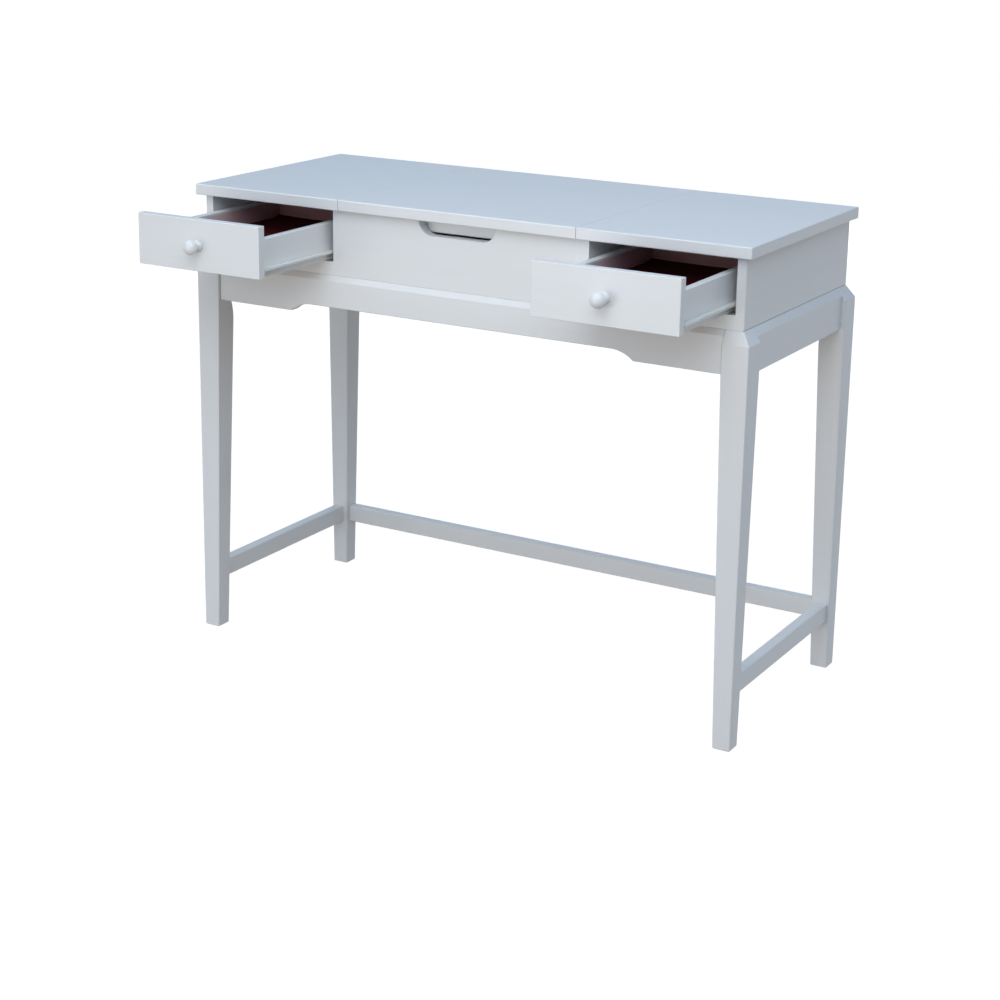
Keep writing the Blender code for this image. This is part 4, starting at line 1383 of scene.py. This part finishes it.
@dataclass(frozen=True)
class Knob:
    """The shape of a turned knob, along its axis from the drawer front.

    Attributes:
        foot: The radius of the foot.
        foot_thickness: How thick the foot is.
        neck: The radius of the neck.
        neck_at: Where the neck is thinnest.
        head_length: The length of the round head.
        foot_round: How far the foot's edge is rounded in, as a share of half its thickness.
        cove_start: How far in from the foot the hollow of the neck starts, as the same share.
        crown: The radius of the flat at the head's crown, as a share of the head's.
        steps: Points along the foot's edge and along the hollow.
        head_steps: Points along the head.
        sides: Points around it.
    """

    foot: float = 0.0092
    foot_thickness: float = 0.0026
    neck: float = 0.0060
    neck_at: float = 0.0068
    head_length: float = 0.0195
    foot_round: float = 0.5
    cove_start: float = 0.6
    crown: float = 0.004
    steps: int = 8
    head_steps: int = 32
    sides: int = 96

    def profile(self, length: float, radius: float) -> list[tuple[float, float]]:
        """The turned outline.

        Args:
            length: The knob's length.
            radius: The radius of its head.

        Returns:
            (along, radius) points from the foot to the head's crown.
        """
        edge = self.foot_thickness / 2
        points = [(0.0, self.foot - edge * self.foot_round)]
        for i in range(1, self.steps):
            turn = math.pi * i / self.steps
            round_edge = self.foot - edge * self.foot_round * (1.0 - math.sin(turn))
            points.append((edge * (1.0 - math.cos(turn)), round_edge))
        cove = self.foot - edge * self.cove_start
        for i in range(self.steps + 1):
            share = i / self.steps
            dip = 1.0 - math.sin(share * math.pi / 2)
            along = self.foot_thickness + (self.neck_at - self.foot_thickness) * share
            points.append((along, self.neck + (cove - self.neck) * dip))
        half = self.head_length / 2
        join = math.asin(self.neck / radius)
        for i in range(self.head_steps + 1):
            turn = join + (math.pi - join) * i / self.head_steps
            along = length - half - half * math.cos(turn)
            points.append((along, max(radius * math.sin(turn), radius * self.crown)))
        return points


@dataclass
class Drawer(SubAssembly):
    """A drawer: its box, felt, knob and roller slides.

    Attributes:
        body: The body that it rides on, which is also its nodes' first name.
        fixed: The body that the tracks ride on.
        edge: The rounding of its boards.
        slide_edge: The rounding of the slides.
        knob_shape: The knob's outline.
        knob_smooth, felt_smooth: Angles up to which the knob and the felt are shaded smooth.
        felt_step: The distance between the points of the felt's surface.
        felt_rim: How far the rounding of the felt's cut edge reaches in.
        felt_swell: How far the felt's nap rises and falls.
        swell_waves: The swell's waves across and along the drawer, in radians to the metre.
        swell_bend: The waves that bend the ones across, and how far they bend them.
        swell_slant: How the waves along the drawer slant over its width.
        curl: How far the felt's far edge has curled up.
        curl_reach: How far from that edge the curl starts.
        curl_middle: The share of the curl at the middle of that edge.
        slide_gauge: The thickness of the slides' steel.
        roller_radius: The radius of a slide's roller.
        roller_width: Its width.
        roller_rim: The rounding of its rims.
        roller_gap: The gap between it and the slide's steel.
        roller_sides: Points around it.
        roller_from_end: How far its axle is from the slide's end.
        bolt_head: The knob's screw head inside the drawer.
    """

    body: str
    fixed: str = "table_base"
    edge: float = 0.0004
    slide_edge: float = 0.0003
    knob_shape: Knob = Knob()
    knob_smooth: float = 60.0
    felt_smooth: float = 80.0
    felt_step: float = 0.004
    felt_rim: float = 0.002
    felt_swell: float = 0.00025
    swell_waves: tuple[float, float] = (61.0, 47.0)
    swell_bend: tuple[float, float] = (23.0, 1.7)
    swell_slant: float = 9.0
    curl: float = 0.0035
    curl_reach: float = 0.030
    curl_middle: float = 0.45
    slide_gauge: float = 0.0015
    roller_radius: float = 0.0047
    roller_width: float = 0.0052
    roller_rim: float = 0.0006
    roller_gap: float = 0.0009
    roller_sides: int = 48
    roller_from_end: float = 0.009
    bolt_head: Screw = Screw(radius=0.0045, rise=0.0024, depth=0.0016, arm=0.0006, reach=0.0026)

    HANDS: ClassVar[dict[str, int]] = {"left": -1, "right": 1}

    def build(self) -> None:
        """Makes every piece of the drawer."""
        self.carry(f"{self.body}_front", PAINT, Grain.ALONG_X, self.edge)
        # The drawer's back takes painted red bounce light and painted shade on its inner face.
        self.carry(f"{self.body}_back", BounceAndShadePaint(face=1), Grain.ALONG_X, self.edge)
        self.carry(f"{self.body}_bottom", PLY, Grain.ALONG_Y, self.edge)
        for hand, side in self.HANDS.items():
            # Each side takes painted red bounce light and painted shade on its inner face.
            paint = BounceAndShadePaint(face=0, towards=-side)
            self.carry(f"{self.body}_side_{hand}", paint, Grain.ALONG_Y, self.edge)
            for slide in (f"{self.body}_runner_{hand}", f"{self.body}_track_{hand}"):
                self.carry(slide, ENAMEL, Grain.ALONG_Y, self.slide_edge, ROUND_CREASE)
            self.rollers(hand, side)
        self.knob()
        self.felt()

    def rollers(self, hand: str, side: int) -> None:
        """The nylon rollers of one slide: one on the drawer, one on the case.

        Args:
            hand: The slide's side of the drawer, left or right.
            side: Its sign along X.
        """
        runner, track = f"{self.body}_runner_{hand}", f"{self.body}_track_{hand}"
        low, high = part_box(runner)
        face = low.x if side > 0 else high.x
        spot = (face, high.y - self.roller_from_end, low.z + self.roller_radius)
        self.add(self.wheel(spot, side).piece(f"{runner}_roller"), NYLON, runner)
        low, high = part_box(track)
        axle = high.z - self.slide_gauge * 2 - self.roller_radius * 2
        spot = (face, low.y + self.roller_from_end, axle)
        fixed = SubAssembly(self.fixed)
        fixed.add(self.wheel(spot, side).piece(f"{track}_roller"), NYLON, track)

    def wheel(self, at: Point, side: int) -> Shape:
        """One roller with rounded rims and a domed rivet.

        Args:
            at: Its place: the slide's inner face, and the depth and height of its axle.
            side: The sign along X of the way that its rivet points.

        Returns:
            The roller's mesh.
        """
        rim, radius = self.roller_rim, self.roller_radius
        start = self.slide_gauge + self.roller_gap
        end = start + self.roller_width
        outline = [
            (start, radius * 0.2),
            (start, radius - rim),
            (start + rim * 0.4, radius - rim * 0.3),
            (start + rim, radius),
            (end - rim, radius),
            (end - rim * 0.4, radius - rim * 0.3),
            (end, radius - rim),
            (end, radius * 0.45),
            (end + rim * 0.6, radius * 0.40),
            (end + rim, radius * 0.1),
        ]
        shape = Shape()
        shape.turned(outline, at, (side, 0, 0), self.roller_sides)
        return shape

    def knob(self) -> None:
        """The turned knob, with its foot, neck and round head, and its screw inside."""
        node = f"{self.body}_knob"
        low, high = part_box(node)
        centre = middle((low, high))
        profile = self.knob_shape.profile(high.y - low.y, (high.x - low.x) / 2)
        shape = Shape()
        spot = (centre.x, high.y, centre.z)
        shape.turned(profile, spot, (0, -1, 0), self.knob_shape.sides)
        knob = shape.piece(f"{node}_turned", self.knob_smooth)
        self.add(knob, TURNED_PAINT, node, Grain.ALONG_Y, [node])

        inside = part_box(f"{self.body}_front")[1].y
        bolt = Shape()
        bolt.screw(self.bolt_head, (centre.x, inside, centre.z), (0, 1, 0))
        self.add(bolt.piece(f"{self.body}_knob_screw"), ZINC, f"{self.body}_runner_left")

    def lift(self, box: Box, x: float, y: float) -> float:
        """How far the felt has curled up at a point.

        Args:
            box: The felt's corners while it is flat.
            x: The point's place across the drawer.
            y: The point's place along it.

        Returns:
            The height above the flat felt.
        """
        centre = middle(box)
        corner = abs(x - centre.x) / (box[1].x - centre.x)
        far = max(0.0, 1.0 - (box[1].y - y) / self.curl_reach)
        rest = 1.0 - self.curl_middle
        return self.curl * far * far * (self.curl_middle + rest * corner**3)

    def nap(self, box: Box, x: float, y: float) -> float:
        """The height of the felt's upper face at a point.

        Args:
            box: The felt's corners while it is flat.
            x: The point's place across the drawer.
            y: The point's place along it.

        Returns:
            The height, with the felt's swell, its rounded rim and its curl.
        """
        low, high = box
        rim = min(x - low.x, high.x - x, y - low.y, high.y - y)
        drop = (high.z - low.z) * 0.5 * max(0.0, 1.0 - rim / self.felt_rim) ** 2
        bend = self.swell_bend[1] * math.sin(y * self.swell_bend[0])
        across = math.sin(x * self.swell_waves[0] + bend)
        wave = across * math.sin(y * self.swell_waves[1] + x * self.swell_slant)
        return high.z - self.felt_swell * (1.0 + wave) / 2 - drop + self.lift(box, x, y)

    def felt(self) -> None:
        """The felt sheet, with a soft uneven nap, rounded cut edges and a curled far edge."""
        node = f"{self.body}_liner"
        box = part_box(node)
        low, high = box
        xs = spread(low.x, high.x, self.felt_step)
        ys = spread(low.y, high.y, self.felt_step)
        upper = [[(x, y, self.nap(box, x, y)) for x in xs] for y in ys]
        lower = [[(x, y, low.z + self.lift(box, x, y)) for x in xs] for y in ys]
        shape = Shape()
        shape.padded(upper, lower)
        felt = shape.piece(f"{node}_felt", self.felt_smooth)
        sheet = self.add(felt, FELT, node, Grain.ALONG_Y, [node])


# ---------------------------------------------------------------- studio


@dataclass
class Lamp:
    """A square soft light that is aimed at the table.

    Attributes:
        name: The light's name.
        at: Where it stands.
        size: The length of its side.
        power: Its power in watts.
        colour: Its colour.
        lights: Whether it lights matt surfaces.
        glints: Whether it shows in glossy ones.
    """

    name: str
    at: Point
    size: float
    power: float
    colour: Colour = (0.985, 0.995, 1.0)
    lights: bool = True
    glints: bool = True

    def build(self, target: Vector) -> None:
        """Hangs the light.

        Args:
            target: The point that it is aimed at.
        """
        data = bpy.data.lights.new(self.name, "AREA")
        data.shape = "SQUARE"
        data.size = self.size
        data.energy = self.power
        data.color = self.colour
        lamp = bpy.data.objects.new(self.name, data)
        bpy.context.scene.collection.objects.link(lamp)
        lamp.location = self.at
        lamp.visible_diffuse, lamp.visible_glossy = self.lights, self.glints
        aim = target - Vector(self.at)
        lamp.rotation_euler = aim.to_track_quat("-Z", "Y").to_euler()


@dataclass
class Studio:
    """The camera, the lights and the white paper under and round the table.

    Attributes:
        eye: Where the camera stands.
        heading: How far it is turned to the left, in degrees.
        tilt: How far it looks down, in degrees.
        roll: How far it leans, in degrees.
        lens: Its focal length in millimetres.
        sensor: The width of its sensor in millimetres.
        far: How far it sees.
        shift: The lens's shift, in widths of the picture.
        sky: The light from above.
        ground: The light from below.
        blend: The slope over which one becomes the other.
        floor_size: The length of the floor's side.
        dome_radius: The radius of the dome of paper that closes the view.
        dome_rings: The dome's faces from top to bottom; there are twice as many around it.
        lamps: The soft lights.
    """

    eye: Point = (1.6025, -2.7323, 1.2962)
    heading: float = 30.5327
    tilt: float = 15.5573
    roll: float = 0.7737
    lens: float = 74.367
    sensor: float = 36.0
    far: float = 200.0
    shift: tuple[float, float] = (0.020, -0.080)
    sky: Colour = (0.340, 0.440, 0.562)
    ground: Colour = (0.125, 0.105, 0.085)
    blend: float = 0.18
    floor_size: float = 56.0
    dome_radius: float = 27.0
    dome_rings: int = 32
    lamps: list[Lamp] = field(
        default_factory=lambda: [
            Lamp("front", (-0.9, -4.1, 1.15), 2.2, 21.0),
            Lamp("near", (0.65, -1.5, 2.35), 2.2, 31.0),
            Lamp("low", (-0.5, -2.2, 0.2), 1.6, 7.5, (1.0, 0.98, 0.93)),
            Lamp("rear", (-1.6, 4.0, 0.9), 2.2, 62.0, glints=False),
            Lamp("sheen", (-1.7, -0.95, 3.3), 1.6, 30.0, lights=False),
        ]
    )

    def build(self) -> None:
        """Sets up everything in the studio."""
        scene = bpy.context.scene
        scene.view_settings.view_transform = "Standard"
        target = middle(CAD_BOX)
        self.camera()
        for lamp in self.lamps:
            lamp.build(target)
        self.world()
        self.paper()
        log.info("studio: %d lamps", len(self.lamps))

    def camera(self) -> None:
        """Places the camera, from its heading, tilt and roll."""
        turns = (self.heading, -self.tilt, self.roll)
        yaw, pitch, roll = (math.radians(turn) for turn in turns)
        ahead = Vector(
            (-math.sin(yaw) * math.cos(pitch), math.cos(yaw) * math.cos(pitch), math.sin(pitch))
        )
        right = Vector((math.cos(yaw), math.sin(yaw), 0.0))
        up = right.cross(ahead)
        across = right * math.cos(roll) + up * math.sin(roll)
        upward = up * math.cos(roll) - right * math.sin(roll)
        turn = Matrix((across, upward, -ahead)).transposed().to_4x4()
        data = bpy.data.cameras.new("camera")
        data.sensor_width = self.sensor
        data.lens = self.lens
        data.shift_x, data.shift_y = self.shift
        data.clip_end = self.far
        eye = bpy.data.objects.new("camera", data)
        bpy.context.scene.collection.objects.link(eye)
        eye.matrix_world = Matrix.Translation(Vector(self.eye)) @ turn
        bpy.context.scene.camera = eye

    def world(self) -> None:
        """The soft light from all round, cooler above than below."""
        graph = SkyGraph("studio")
        upward = graph.axes()[2].step(-self.blend, self.blend)
        colour = graph.mix(upward, self.ground, self.sky)
        bpy.context.scene.world = graph.set(Color=colour, Strength=1.0)

    def paper(self) -> None:
        """The white floor and dome, which aren't part of the table and don't light it."""
        half = self.floor_size / 2
        shape = Shape()
        corners = [(-half, -half), (half, -half), (half, half), (-half, half)]
        shape.mesh.faces.new([shape.mesh.verts.new((x, y, 0.0)) for x, y in corners])
        dome = Shape()
        rings = self.dome_rings
        bmesh.ops.create_uvsphere(
            dome.mesh, u_segments=2 * rings, v_segments=rings, radius=self.dome_radius
        )
        floor, cover = shape.piece("studio_floor", None), dome.piece("studio_dome")
        for thing in (floor, cover):
            material = PAPER.material(f"{thing.name}_paper", Grain.NONE, box_of(thing))
            thing.data.materials.append(material)
            thing.visible_diffuse = False
            thing.visible_shadow = False
        cover.visible_glossy = False


def main() -> None:
    """Builds the studio and every sub-assembly in order."""
    logging.basicConfig(level=logging.INFO, format="%(name)s %(message)s")
    parts: list[Callable[[], None]] = [
        Studio().build,
        Underframe().build,
        Case().build,
        MirrorLid().build,
        Drawer("drawer_left").build,
        Drawer("drawer_right").build,
    ]
    for build in parts:
        build()


if __name__ == "__main__":
    main()
